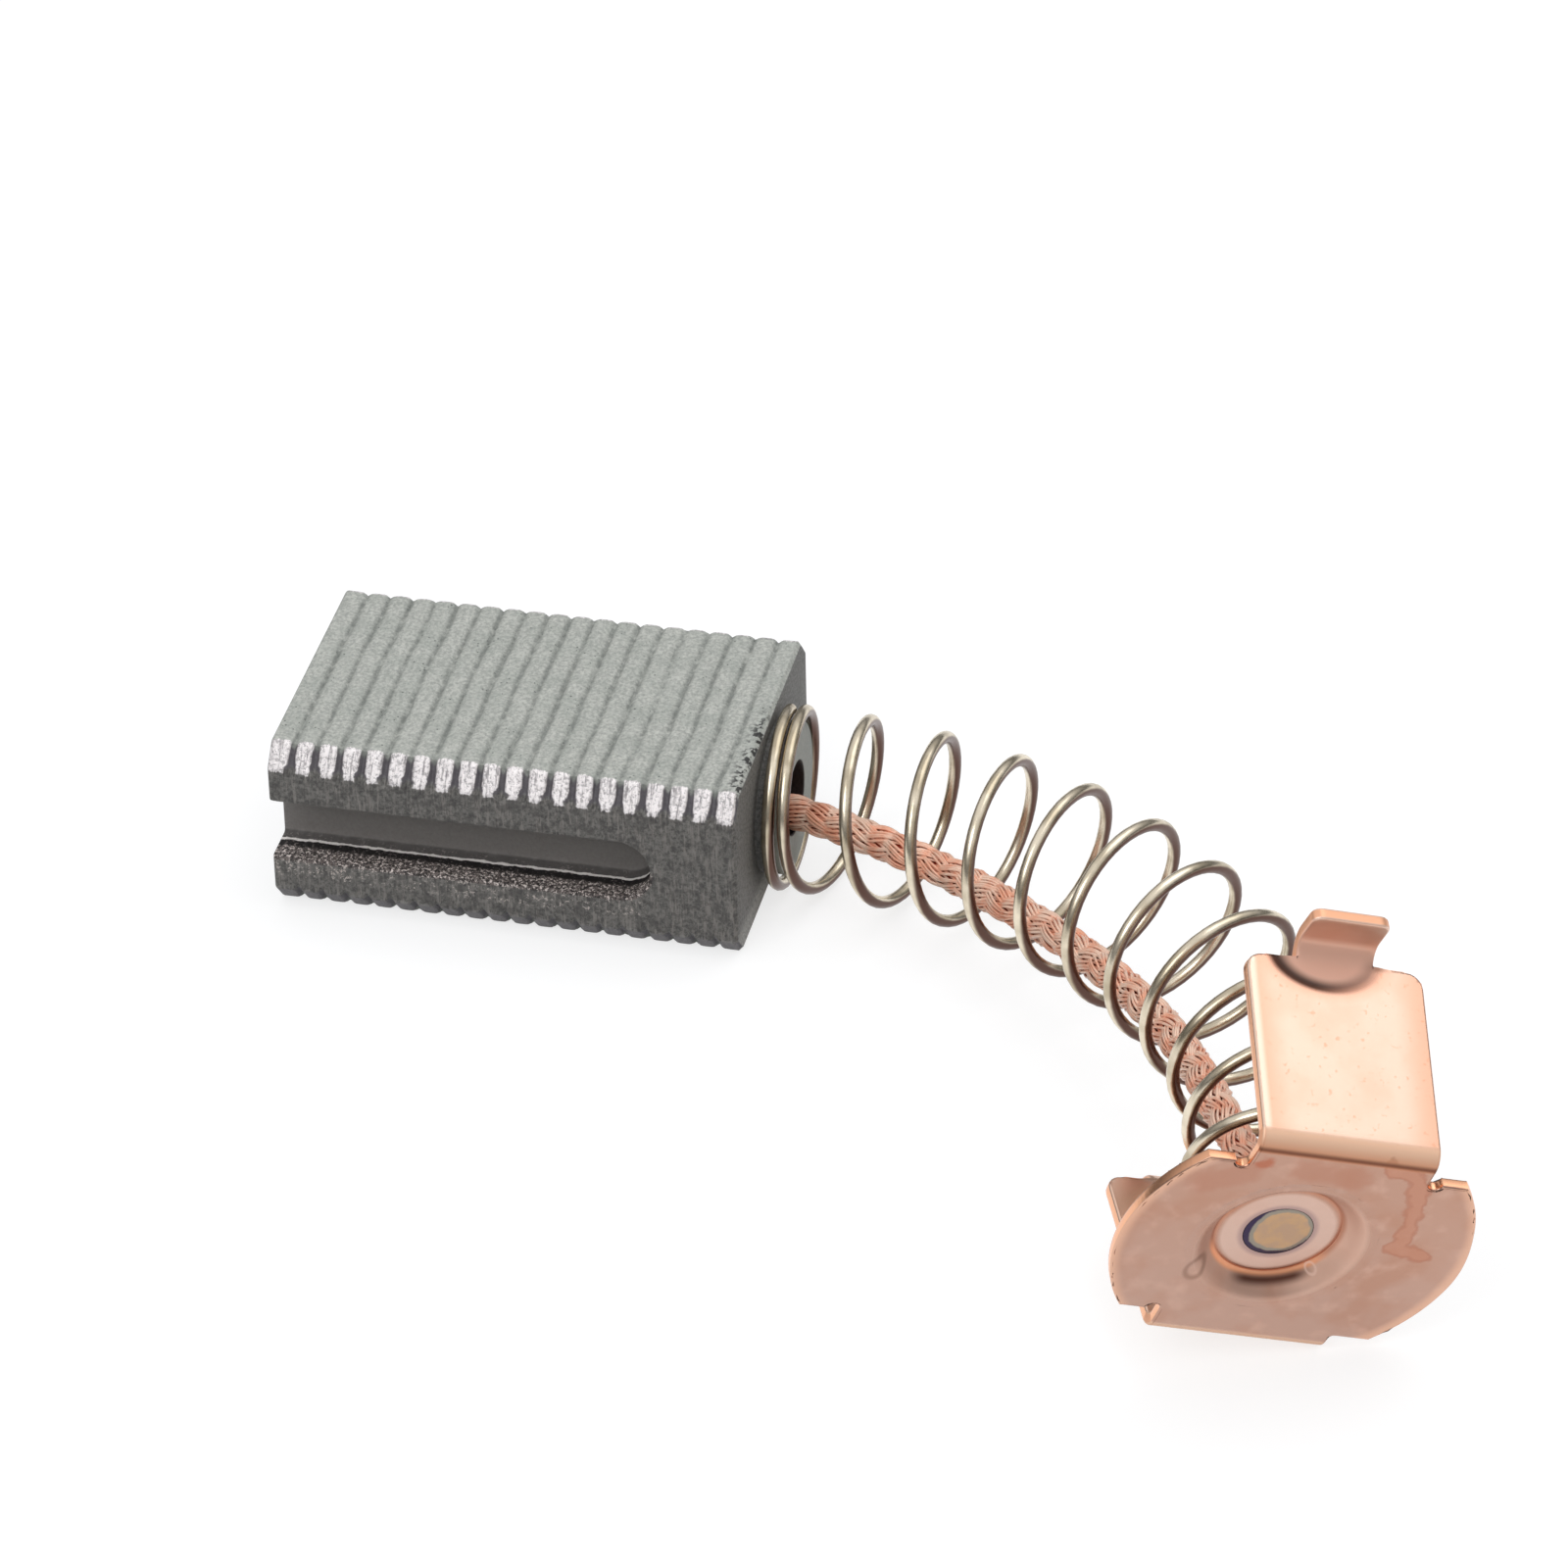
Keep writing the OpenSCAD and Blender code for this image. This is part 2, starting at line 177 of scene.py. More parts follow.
# Carbon block
# Pressed carbon graphite. The die leaves ribs across both broad faces and their long
# chamfers, and a guide slot in each narrow side, open at the sawn contact face. The
# rear face has a low round boss, which centres the spring, and the braid's hole.
BLOCK_L, BLOCK_W, BLOCK_H = 12, 7.9, 4.8
CHAMFER_W, CHAMFER_H = 0.5, 0.58
REAR_BEVEL, FRONT_WEAR = 0.1, 0.1
RIB_COUNT, GROOVE_DEPTH = 20, 0.12
SLOT_L, SLOT_H, SLOT_D = 9.8, 1.7, 1.15
HOLE_R, HOLE_DEPTH = 0.95, 6
BOSS_R, BOSS_H = 1.95, 0.6
# Half widths and shares of the depth of a groove's fine line and of its shallow
# trough, and its half width over the chamfers
LINE_W, TROUGH_W, CHAMFER_GROOVE_W = 0.05, 0.17, 0.07
LINE_SHARE, TROUGH_SHARE = 0.38, 0.45
# How rough the faces and the slots' lower walls are, how near such a wall a point
# counts as on it, and past which y and z the faces are rough
GRAIN, SLOT_GRAIN, LEDGE_H = 0.009, 0.035, 0.1
GRAINY_Y, GRAINY_Z = 3.2, 0.9
MERGE_WITHIN = 0.0005

RIB_PITCH = BLOCK_L / RIB_COUNT
slot_end_r = SLOT_H / 2
slot_end = SLOT_L - slot_end_r
boss_top = BLOCK_L + BOSS_H
chamfer_y, chamfer_z = BLOCK_W / 2 - CHAMFER_W, BLOCK_H / 2 - CHAMFER_H
chamfer_lean = math.atan2(CHAMFER_H, CHAMFER_W)
chamfer_reach = chamfer_y * math.sin(chamfer_lean) + BLOCK_H / 2 * math.cos(chamfer_lean)


def add_piece(name, points, faces, slot, *replaced, sharp, marks=None):
    """A mesh piece from points in millimetres, smooth but for edges over the sharp angle.
    Marks are vectors kept with the points, for the material to read."""
    mesh = bpy.data.meshes.new(name)
    in_metres = [tuple(float(c) * MM for c in p) for p in points]
    mesh.from_pydata(in_metres, [], [tuple(map(int, f)) for f in faces])
    for key, values in (marks or {}).items():
        kept = mesh.attributes.new(key, "FLOAT_VECTOR", "POINT")
        kept.data.foreach_set("vector", np.array(values, float).ravel())
    work = bmesh.new()
    work.from_mesh(mesh)
    bmesh.ops.remove_doubles(work, verts=work.verts, dist=MERGE_WITHIN * MM)
    bmesh.ops.recalc_face_normals(work, faces=work.faces)
    work.to_mesh(mesh)
    work.free()
    mesh.shade_smooth()
    mesh.set_sharp_from_angle(angle=math.radians(sharp))
    piece = bpy.data.objects.new(name, mesh)
    bpy.context.scene.collection.objects.link(piece)
    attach(piece, "root")
    if replaced:
        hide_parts(*replaced)
    return piece


def rounded_section(corners, radii, counts, arc=3):
    """Points round a closed section whose corners are rounded, with a set count on each side"""
    out = []
    n = len(corners)
    corners = [np.array(c, float) for c in corners]
    ends = []
    for i in range(n):
        here, last, following = corners[i], corners[i - 1], corners[(i + 1) % n]
        a, b = last - here, following - here
        la, lb = np.linalg.norm(a), np.linalg.norm(b)
        if la < 1e-9 or lb < 1e-9 or radii[i] == 0:
            ends.append([here] * arc)
            continue
        a, b = a / la, b / lb
        half = math.acos(max(-1, min(1, float(a @ b)))) / 2
        reach = min(radii[i] / math.tan(half), 0.4 * la, 0.4 * lb)
        ends.append([
            (1 - t) ** 2 * (here + a * reach) + 2 * t * (1 - t) * here + t * t * (here + b * reach)
            for t in np.linspace(0, 1, arc)
        ])
    for i in range(n):
        start, stop = ends[i][-1], ends[(i + 1) % n][0]
        out += ends[i]
        out += [start + (stop - start) * k / counts[i] for k in range(1, counts[i])]
    return np.array(out)


def block_section(ribs_in, all_in, slot_half):
    """Section of the block, with its ribbed faces set in by ribs_in and every face by all_in.
    The slots have half height slot_half, and are left out where that is None."""
    w, h = BLOCK_W / 2 - all_in, BLOCK_H / 2 - all_in - ribs_in
    reach = chamfer_reach - all_in - ribs_in
    y = (reach - h * math.cos(chamfer_lean)) / math.sin(chamfer_lean)
    z = (reach - w * math.sin(chamfer_lean)) / math.cos(chamfer_lean)
    floor_y = BLOCK_W / 2 - SLOT_D if slot_half is not None else w
    s = slot_half or 0
    far = [(y, h), (w, z), (w, s), (floor_y, s), (floor_y, -s), (w, -s), (w, -z), (y, -h)]
    near = [(-p, -q) for p, q in far]
    radii = [0.1, 0.1, 0.05, 0.1, 0.1, 0.05, 0.1, 0.1] * 2
    counts = [8, 7, 7, 9, 7, 7, 8, 50] * 2
    return rounded_section(far + near, radii, counts)


def groove(x, y, z):
    """How deep a groove is at a point of a ribbed face, as a share of the full depth, and how near
    the point is to the middle of a rib. A groove is a fine line in a shallow trough on the broad
    faces, and is wider and deeper over the chamfers."""
    x = x + 0.05 * noise.noise((y * 0.5, x * 0.12, 3.1)) + 0.022 * noise.noise((y * 2.3, x * 0.9, 5.7))
    nearest = min(max(round(x / RIB_PITCH), 1), RIB_COUNT - 1)
    off = abs(x - nearest * RIB_PITCH)
    if abs(y) > chamfer_y + 0.02:
        uneven = 1 + 0.1 * noise.noise((nearest * 2.3, z, 1.3))
        depth = uneven / (1 + (off / CHAMFER_GROOVE_W) ** 4)
    else:
        worn = 0.86 + 0.3 * noise.noise((nearest * 1.7, y * 0.4, 9.3))
        line, trough = (1 + (off / LINE_W) ** 2) ** 2, (1 + (off / TROUGH_W) ** 2) ** 2
        depth = worn * (LINE_SHARE / line + TROUGH_SHARE / trough)
    return depth, min(2 * off / RIB_PITCH, 1)


# The sections stand close together at the worn front edge, round each groove, at the
# slots' round ends and at the rear bevel
FRONT_STEPS = [0, 0.005, 0.02, 0.05, FRONT_WEAR]
GROOVE_STEPS = (-0.24, -0.17, -0.12, -0.08, -0.04, 0, 0.04, 0.08, 0.12, 0.17, 0.24, 0.30)
BEVEL_STEPS = (0, 0.02, 0.04, 0.06, 0.08, REAR_BEVEL)
at_grooves = [i * RIB_PITCH + step for i in range(RIB_COUNT) for step in GROOVE_STEPS]
stations = FRONT_STEPS + [x for x in at_grooves if x > FRONT_WEAR + 0.01]
stations = [x for x in stations if x < slot_end or x > SLOT_L + 0.02]
stations += [slot_end + slot_end_r * math.sin(a) for a in np.linspace(0, math.pi / 2, 15)]
stations = [x for x in stations if x < BLOCK_L - REAR_BEVEL]
stations = sorted(stations + [BLOCK_L - REAR_BEVEL + step for step in BEVEL_STEPS])

points, faces, cuts, rings = [], [], [], []
for x in stations:
    if x <= slot_end:
        half = slot_end_r
    elif x <= SLOT_L + 1e-6:
        half = math.sqrt(max(slot_end_r ** 2 - (x - SLOT_L + slot_end_r) ** 2, 0))
    else:
        half = None
    ease = FRONT_WEAR - math.sqrt(FRONT_WEAR ** 2 - (FRONT_WEAR - x) ** 2) if x < FRONT_WEAR else 0
    bevel = max(0, x - BLOCK_L + REAR_BEVEL)
    outer = block_section(0, ease + bevel, half)
    inner = block_section(GROOVE_DEPTH, ease + bevel, half)
    ring = []
    for (y0, z0), (y1, z1) in zip(outer, inner):
        g, on_rib = groove(x, y0, z0)
        y, z = y0 + (y1 - y0) * g, z0 + (z1 - z0) * g
        if FRONT_WEAR < x < BLOCK_L - 0.01:
            grain = noise.fractal(Vector((x, y, z)) * 5.5, 0.9, 2.1, 3)
            in_slot = half is not None and abs(z) < half + 0.02 and abs(y) < BLOCK_W / 2 - 0.03
            on_ledge = in_slot and z < -half + LEDGE_H
            pull = (SLOT_GRAIN if on_ledge else GRAIN) * (grain - 0.6)
            if abs(y) > GRAINY_Y:
                y -= math.copysign(1, y) * pull
            if on_ledge:
                z = z0 + 0.9 * abs(pull)
            elif abs(z) > GRAINY_Z:
                z -= math.copysign(0.6 * abs(pull), z)
        ring.append(len(points))
        points.append((x, y, z))
        cuts.append((g, on_rib, 0))
    rings.append(ring)
slots_end = max(i for i, x in enumerate(stations) if x <= SLOT_L + 1e-6)


def closed(index):
    """Whether a point is on the line that a slot closes to at its round end"""
    return abs(points[index][1]) < BLOCK_W / 2 - 0.06 and abs(points[index][2]) < 0.03


def band(a, b):
    """Faces between two rings of points"""
    return list(zip(a, a[1:] + a[:1], b[1:] + b[:1], b))


for i, (a, b) in enumerate(zip(rings, rings[1:])):
    faces += [f for f in band(a, b) if not (i == slots_end and closed(f[0]) and closed(f[1]))]
faces.append(tuple(reversed(rings[0])))

# Rows over the rear face, up the boss and into the hole: x, radius, and how far towards it
face_rows = [(BLOCK_L, BOSS_R, share) for share in (0.33, 0.67, 1)]
face_rows += [(boss_top - 0.04, BOSS_R, 1), (boss_top - 0.01, BOSS_R - 0.01, 1)]
face_rows += [(boss_top, BOSS_R - 0.04, 1), (boss_top, HOLE_R + 0.03, 0.5)]
face_rows += [(boss_top, HOLE_R + 0.03, 1), (boss_top - 0.03, HOLE_R, 1)]
face_rows += [(x, HOLE_R, 1) for x in (BLOCK_L, BLOCK_L - 0.9, BLOCK_L - HOLE_DEPTH)]
last = rings[-1]
for x, r_to, share in face_rows:
    ring = []
    for k in last:
        _, y, z = points[k]
        pull = 1 + (r_to / math.hypot(y, z) - 1) * share
        ring.append(len(points))
        points.append((x, y * pull, z * pull))
    faces += band(last, ring)
    last = ring
faces.append(tuple(last))
cuts += [(0, 0, 0)] * (len(points) - len(cuts))
block = add_piece(
    "pressed_carbon_block", points, faces, "carbon", "carbon_block", sharp=38, marks={"cuts": cuts})

carbon, shader, node, into = new_material("pressed_carbon")


def spot_in_mm(node, scale=(1, 1, 1)):
    """Where a point of the piece is, in millimetres, for its textures"""
    place = node("TexCoord").outputs["Object"]
    return node("Mapping", {"Vector": place, "Scale": tuple(s / MM for s in scale)}).outputs[0]


def clouds(node, place, scale, detail, roughness=0.5):
    """Soft noise over a place, about 0.5 on average"""
    made = node("TexNoise", {"Vector": place, "Scale": scale, "Detail": detail, "Roughness": roughness})
    return made.outputs["Fac"]


def vector_of(node, operation, *values):
    """A sum, product or the like of vectors, or the number that a length or distance gives"""
    made = node("VectorMath", dict(enumerate(values)), operation=operation)
    return made.outputs["Value" if operation in ("LENGTH", "DISTANCE", "DOT_PRODUCT") else "Vector"]


def ramped(node, value, low, high, to_low=0.0, to_high=1.0):
    """A value taken smoothly from one range to another"""
    return node("MapRange", {
        "Value": value, "From Min": low, "From Max": high, "To Min": to_low, "To Max": to_high,
    }, interpolation_type="SMOOTHSTEP").outputs[0]


def stirred(node, value, cloud, share):
    """A value moved up and down by a noise"""
    return math_of(node, "ADD", value, product(node, math_of(node, "SUBTRACT", cloud, 0.5), share))


def between(node, value, low, high, soft):
    """A soft band of a value"""
    rising = ramped(node, value, low - soft, low + soft)
    return product(node, rising, ramped(node, value, high + soft, high - soft))


def mixed(node, share, first, second):
    """A colour mixed from two"""
    return node("Mix", {0: share, 6: first, 7: second}, data_type="RGBA").outputs[2]


spot = spot_in_mm(node)
axes = node("SeparateXYZ", {0: spot})
along, beside, up_axis = axes.outputs["X"], axes.outputs["Y"], axes.outputs["Z"]
across, high = math_of(node, "ABSOLUTE", beside), math_of(node, "ABSOLUTE", up_axis)
marks = node("SeparateXYZ", {0: node("Attribute", attribute_name="cuts").outputs["Vector"]})
cut, on_rib = marks.outputs["X"], marks.outputs["Y"]
fine = clouds(node, spot, 11.0, 4.0, 0.75)
broad = clouds(node, spot, 1.3, 3.0, 0.6)
coarse = clouds(node, spot, 4.2, 3.0, 0.6)
glint = clouds(node, spot, 13.0, 2.0, 0.8)
streak = clouds(node, spot_in_mm(node, (16, 1.6, 1.6)), 1.0, 4.0, 0.7)
pit = node("TexVoronoi", {"Vector": spot, "Scale": 6.5}).outputs["Distance"]

# the crests of the ribs over the chamfers: burnish, and a painted highlight, both strongest on the upper
# side
over = math_of(
    node, "ADD",
    product(node, across, math.sin(chamfer_lean)), product(node, high, math.cos(chamfer_lean)))
over = stirred(node, over, streak, 0.14)
room = math_of(node, "SUBTRACT", on_rib, ramped(node, high, chamfer_z + 0.28, chamfer_z, 0.1, 0.5))
room = stirred(node, room, coarse, 1.0)
crest_burnish_and_highlight = product(
    node, ramped(node, over, chamfer_reach - 0.055, chamfer_reach - 0.02),
    ramped(node, up_axis, -0.6, 0.4, 0.12, 1.0), ramped(node, room, -0.05, 0.12))

# the broad faces: pale grey, with painted shade as fine darker lines in the grooves and as dark spots
# where the surface is pitted
grey = mixed(node, ramped(node, fine, 0.34, 0.66), rgb(160, 163, 158), rgb(204, 206, 199))
grey = mixed(node, ramped(node, broad, 0.35, 0.7, 0.0, 0.35), grey, rgb(152, 159, 152))
line = product(node, ramped(node, cut, 0.1, 0.6, 0.0, 0.6), ramped(node, coarse, 0.34, 0.6, 0.3, 1.0))
grey = mixed(node, line, grey, rgb(98, 103, 99))
pit_shade = product(node, ramped(node, pit, 0.12, 0.2, 1.0, 0.0), ramped(node, broad, 0.52, 0.6))
grey = mixed(node, pit_shade, grey, rgb(96, 100, 97))

# the narrow sides: painted darker as shade, drawn in fine streaks
side = mixed(node, ramped(node, fine, 0.35, 0.65), rgb(80, 79, 77), rgb(136, 134, 130))
side = mixed(node, ramped(node, streak, 0.49, 0.64, 0.0, 0.7), side, rgb(158, 153, 148))
side = mixed(node, ramped(node, coarse, 0.5, 0.38, 0.0, 0.5), side, rgb(66, 64, 63))
on_side = ramped(node, across, BLOCK_W / 2 - 0.25, BLOCK_W / 2 - 0.12)
base = mixed(node, on_side, grey, side)
on_chamfer = product(
    node, ramped(node, across, chamfer_y - 0.03, chamfer_y + 0.07),
    ramped(node, high, chamfer_z - 0.02, chamfer_z + 0.08))
base = mixed(node, on_chamfer, base, mixed(node, fine, rgb(62, 59, 63), rgb(126, 122, 127)))

# the slot: a grey wall, and on its lower wall, going out, a painted highlight as a thin bright edge, a
# painted shadow as a black band, and rough grains with painted glints; painted glints also fleck the
# side below it
WALL_Y, HIGHLIGHT_Y, SHADOW_Y = 3.07, 3.16, 3.38
past_end = math_of(node, "MAXIMUM", math_of(node, "SUBTRACT", along, slot_end), 0.0)
from_slot = vector_of(node, "LENGTH", node("CombineXYZ", {0: past_end, 1: up_axis}).outputs[0])
in_slot = product(
    node, ramped(node, from_slot, slot_end_r + 0.02, slot_end_r - 0.01),
    ramped(node, across, BLOCK_W / 2 - 0.01, BLOCK_W / 2 - 0.05))
base = mixed(node, in_slot, base, mixed(node, fine, rgb(122, 118, 116), rgb(156, 152, 148)))
on_ledge = product(
    node, ramped(node, from_slot, slot_end_r - LEDGE_H, slot_end_r - 0.04),
    ramped(node, up_axis, 0.1, -0.2), ramped(node, from_slot, slot_end_r + 0.1, slot_end_r + 0.05))
edge_y = stirred(node, across, coarse, 0.08)
ledge_light_and_shade = mixed(node, ramped(node, fine, 0.42, 0.62), rgb(40, 36, 35), rgb(132, 122, 118))
ledge_light_and_shade = mixed(node, ramped(node, glint, 0.54, 0.60), ledge_light_and_shade, rgb(240, 228, 222))
ledge_light_and_shade = mixed(node, ramped(node, edge_y, SHADOW_Y + 0.12, SHADOW_Y), ledge_light_and_shade, rgb(24, 20, 20))
ledge_light_and_shade = mixed(node, ramped(node, edge_y, HIGHLIGHT_Y + 0.03, HIGHLIGHT_Y), ledge_light_and_shade, rgb(255, 250, 246))
ledge_light_and_shade = mixed(node, ramped(node, edge_y, WALL_Y + 0.02, WALL_Y), ledge_light_and_shade, rgb(100, 97, 95))
base = mixed(node, on_ledge, base, ledge_light_and_shade)
# painted glints on the side below the slot
under_ledge = product(
    node, between(node, up_axis, -1.4, -slot_end_r - 0.01, 0.08),
    ramped(node, along, SLOT_L + 0.1, SLOT_L - 0.6),
    ramped(node, glint, 0.56, 0.62), ramped(node, coarse, 0.44, 0.56))
base = mixed(node, under_ledge, base, rgb(214, 204, 198))

# the ends: a crumbled rear edge, painted shade on the rear face above its lowest strip, a paler boss,
# the hole painted dark as shade, and saw lines in front
ragged = product(
    node, ramped(node, along, BLOCK_L - 0.5, BLOCK_L - 0.15),
    ramped(node, up_axis, BLOCK_H / 2 - 0.4, BLOCK_H / 2 - 0.1),
    ramped(node, coarse, 0.49, 0.55), ramped(node, beside, 0.6, -0.6))
base = mixed(node, ragged, base, rgb(52, 52, 52))
rear = mixed(node, ramped(node, fine, 0.36, 0.66), rgb(136, 136, 134), rgb(206, 206, 202))
# painted shade: the rear face is darker above its lowest strip, standing for the spring's shadow
rear = mixed(node, ramped(node, up_axis, -BOSS_R, 0.45 - BOSS_R, 0.0, 0.6), rear, rgb(58, 55, 53))
boss = mixed(node, fine, rgb(146, 152, 148), rgb(204, 209, 204))
rear = mixed(node, ramped(node, along, boss_top - 0.2, boss_top - 0.1), rear, boss)
base = mixed(node, ramped(node, along, BLOCK_L - 0.02, BLOCK_L - 0.002), base, rear)
from_axis = vector_of(node, "LENGTH", node("CombineXYZ", {0: across, 1: high}).outputs[0])
# painted shade: the hole's wall is dark
in_hole = product(
    node, ramped(node, from_axis, HOLE_R + 0.05, HOLE_R + 0.01), ramped(node, along, 1.0, 1.5))
base = mixed(node, in_hole, base, rgb(38, 27, 27))
saw_lines = clouds(node, spot_in_mm(node, (1, 9, 0.5)), 1.0, 3.0)
sawn = mixed(node, ramped(node, saw_lines, 0.36, 0.62), rgb(92, 92, 94), rgb(142, 142, 144))
base = mixed(node, ramped(node, along, 0.004, 0.001), base, sawn)

# painted highlight: the crests' colour runs from silver streaks up to near white
burnish_and_highlight = mixed(node, ramped(node, streak, 0.3, 0.5), rgb(150, 145, 147), rgb(255, 250, 250))
burnish_and_highlight = mixed(node, ramped(node, fine, 0.52, 0.4, 0.0, 0.7), burnish_and_highlight, rgb(142, 138, 140))
into(mixed(node, crest_burnish_and_highlight, base, burnish_and_highlight), "Base Color")
into(product(node, crest_burnish_and_highlight, 0.55), "Metallic")
into(ramped(node, crest_burnish_and_highlight, 0.0, 1.0, 0.62, 0.3), "Roughness")
rise = math_of(node, "ADD", fine, product(node, streak, 0.8))
into(node("Bump", {"Height": rise, "Strength": 0.7, "Distance": 0.04 * MM}).outputs[0], "Normal")
block.data.materials.append(carbon)


# Contact plug
# Copper powder tamped round the end of the braid in the rear hole. It is a dull
# dark brown and is seen only as the bottom of the hole.
tamped, shader, node, into = new_material("tamped_copper_powder")
powder = clouds(node, spot_in_mm(node), 8.0, 4.0)
into(mixed(node, powder, rgb(40, 24, 20), rgb(96, 56, 44)), "Base Color")
shader.inputs["Roughness"].default_value = 0.85
into(node("Bump", {"Height": powder, "Strength": 0.8, "Distance": 0.06 * MM}).outputs[0], "Normal")
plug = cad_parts["contact_plug"]
plug.data.materials.clear()
plug.data.materials.append(tamped)


# Pressure spring
# Hard-drawn steel wire with a bronze tint, wound round the braid. A closed turn
# seats on the block and another on the back of the cap, and the open turns
# between them are bent sideways and lean. Its middle line is the source's.
SPRING_OD, WIRE_D = 4.75, 0.32
TURNS_BLOCK, TURNS_OPEN, TURNS_CAP, TURN_GAP = 1.25, 10.8, 1.5, 0.03
PITCH_GROWTH, WIRE_START = 0.21, -134
LEAN_BLOCK, LEAN_CAP = np.array([0.03, 0.25, 0]), np.array([0.07, 0, -0.4])
CAP_POS = np.array([28.33, -17.42, 1.541726])
CAP_TURN, CAP_LEAN, CAP_PITCH = 25.9, 18.8, 105.3
SHEET_T, DIMPLE_ASIDE, DIMPLE_DEPTH = 0.3, 0.3, 0.44
SEAT = WIRE_D / 2 + 0.01
CLOSED_PITCH = WIRE_D + TURN_GAP
PITCH_BLEND = 0.5
TURN_STEPS, WIRE_SIDES, CURVE_STEPS = 44, 14, 90
# The wire's end lies under its first closed turn, this many turns along
WIRE_END = 0.3
# Two points that pull the spring's curve out of line, from the block and from the cap
BLOCK_BEND, CAP_BEND = np.array([13, -2, 1.2]), np.array([2.05, 0.35, 0.95])

cap_axes = np.array(Euler([math.radians(a) for a in (CAP_PITCH, CAP_LEAN, CAP_TURN)]).to_matrix())
cap_u, cap_v, cap_n = cap_axes[:, 0], cap_axes[:, 1], cap_axes[:, 2]
rear_face = np.array([BLOCK_L, 0.0, 0.0])
dimple_pos = CAP_POS - DIMPLE_ASIDE * cap_u
cap_face = dimple_pos - SHEET_T * cap_n
lead_block = SEAT + TURNS_BLOCK * CLOSED_PITCH
lead_cap = SEAT + TURNS_CAP * CLOSED_PITCH
curve_start = rear_face + [lead_block, 0, 0]
curve_end = cap_face - lead_cap * cap_n
curve_points = [
    curve_start, curve_start + [2.2, 0, 0], rear_face + BLOCK_BEND,
    cap_face - 3 * cap_n + CAP_BEND, curve_end - 0.3 * cap_n, curve_end,
]


def bezier(controls, t):
    """Points of a curve of any order at the shares t"""
    t = np.atleast_1d(t)
    rows = [np.outer(np.ones_like(t), np.atleast_1d(c)) for c in controls]
    while len(rows) > 1:
        rows = [(1 - t)[:, None] * a + t[:, None] * b for a, b in zip(rows, rows[1:])]
    return rows[0]


def unit(v):
    return v / np.linalg.norm(v, axis=-1, keepdims=True)


shares = np.linspace(0, 1, CURVE_STEPS + 1)
samples = bezier(curve_points, shares)
run = np.concatenate([[0], np.cumsum(np.linalg.norm(np.diff(samples, axis=0), axis=1))])
curve_length = run[-1]
path_length = lead_block + curve_length + lead_cap


def path_place(s):
    """Points of the middle line at the lengths s"""
    s = np.atleast_1d(np.asarray(s, float))
    bent = bezier(curve_points, np.interp(s - lead_block, run, shares))
    straight = rear_face + s[:, None] * np.array([1.0, 0, 0])
    cap_end = cap_face - (path_length - s)[:, None] * cap_n
    out = np.where((s < lead_block)[:, None], straight, bent)
    return np.where((s > lead_block + curve_length)[:, None], cap_end, out)


def path_frame(s):
    """Direction, near side and upper side of the middle line"""
    way = unit(path_place(s + 0.05) - path_place(s - 0.05))
    side = unit(np.cross(way, [0, 0, 1]))
    return way, side, np.cross(side, way)


turns = TURNS_BLOCK + TURNS_OPEN + TURNS_CAP


def opened(k, start):
    """Turns past the start whose pitch has opened, with a soft onset"""
    over = np.clip(k - start, 0, None)
    return np.where(over < PITCH_BLEND, over ** 2 / (2 * PITCH_BLEND), over - PITCH_BLEND / 2)


def open_count(k):
    n = opened(k, TURNS_BLOCK) - opened(k, turns - TURNS_CAP - PITCH_BLEND)
    return n * (1 + PITCH_GROWTH * n / TURNS_OPEN)


def lean_share(f):
    """How much of one end's lean the turns have, most a little short of that end and none at it"""
    return (f * (1 - np.exp(-(8 * (1 - f)) ** 2)))[:, None]


open_pitch = CLOSED_PITCH + (path_length - 2 * SEAT - turns * CLOSED_PITCH) / open_count(turns)


def coil_place(k):
    """Points of the wire's middle at the turns k, and the way out from the middle line"""
    s = SEAT + k * CLOSED_PITCH + (open_pitch - CLOSED_PITCH) * open_count(k)
    f = np.clip(s / path_length, 0, 1)
    way = unit(path_frame(s)[0] + lean_share(1 - f) * LEAN_BLOCK + lean_share(f) * LEAN_CAP)
    side = unit(np.cross(way, [0, 0, 1]))
    a = np.radians(360 * k + WIRE_START)[:, None]
    out = np.cos(a) * np.cross(side, way) + np.sin(a) * side
    return path_place(s) + (SPRING_OD - WIRE_D) / 2 * out, out


def tube(middle, out_way, across, radii, sides):
    """Points and faces of a closed tube round a middle line; the two ways span its rings"""
    count = len(middle)
    a = np.linspace(0, 2 * math.pi, sides, endpoint=False)
    radii = np.broadcast_to(radii, (count,))
    rings = middle[:, None, :] + radii[:, None, None] * (
        np.cos(a)[None, :, None] * out_way[:, None, :] + np.sin(a)[None, :, None] * across[:, None, :])
    i, j = np.meshgrid(np.arange(count - 1), np.arange(sides), indexing="ij")
    m = (j + 1) % sides
    quads = [i * sides + j, i * sides + m, (i + 1) * sides + m, (i + 1) * sides + j]
    quads = np.stack(quads, -1).reshape(-1, 4)
    caps = [tuple(range(sides))[::-1], tuple((count - 1) * sides + q for q in range(sides))]
    return rings.reshape(-1, 3), [tuple(q) for q in quads] + caps


k = np.linspace(WIRE_END, turns, int(turns * TURN_STEPS) + 1)
middle, out_way = coil_place(k)
way = unit(coil_place(k + 0.005)[0] - coil_place(k - 0.005)[0])
across = unit(np.cross(way, out_way))
points, faces = tube(middle, np.cross(across, way), across, WIRE_D / 2, WIRE_SIDES)
spring = add_piece("wound_spring", points, faces, "spring_steel", "pressure_spring", sharp=60)

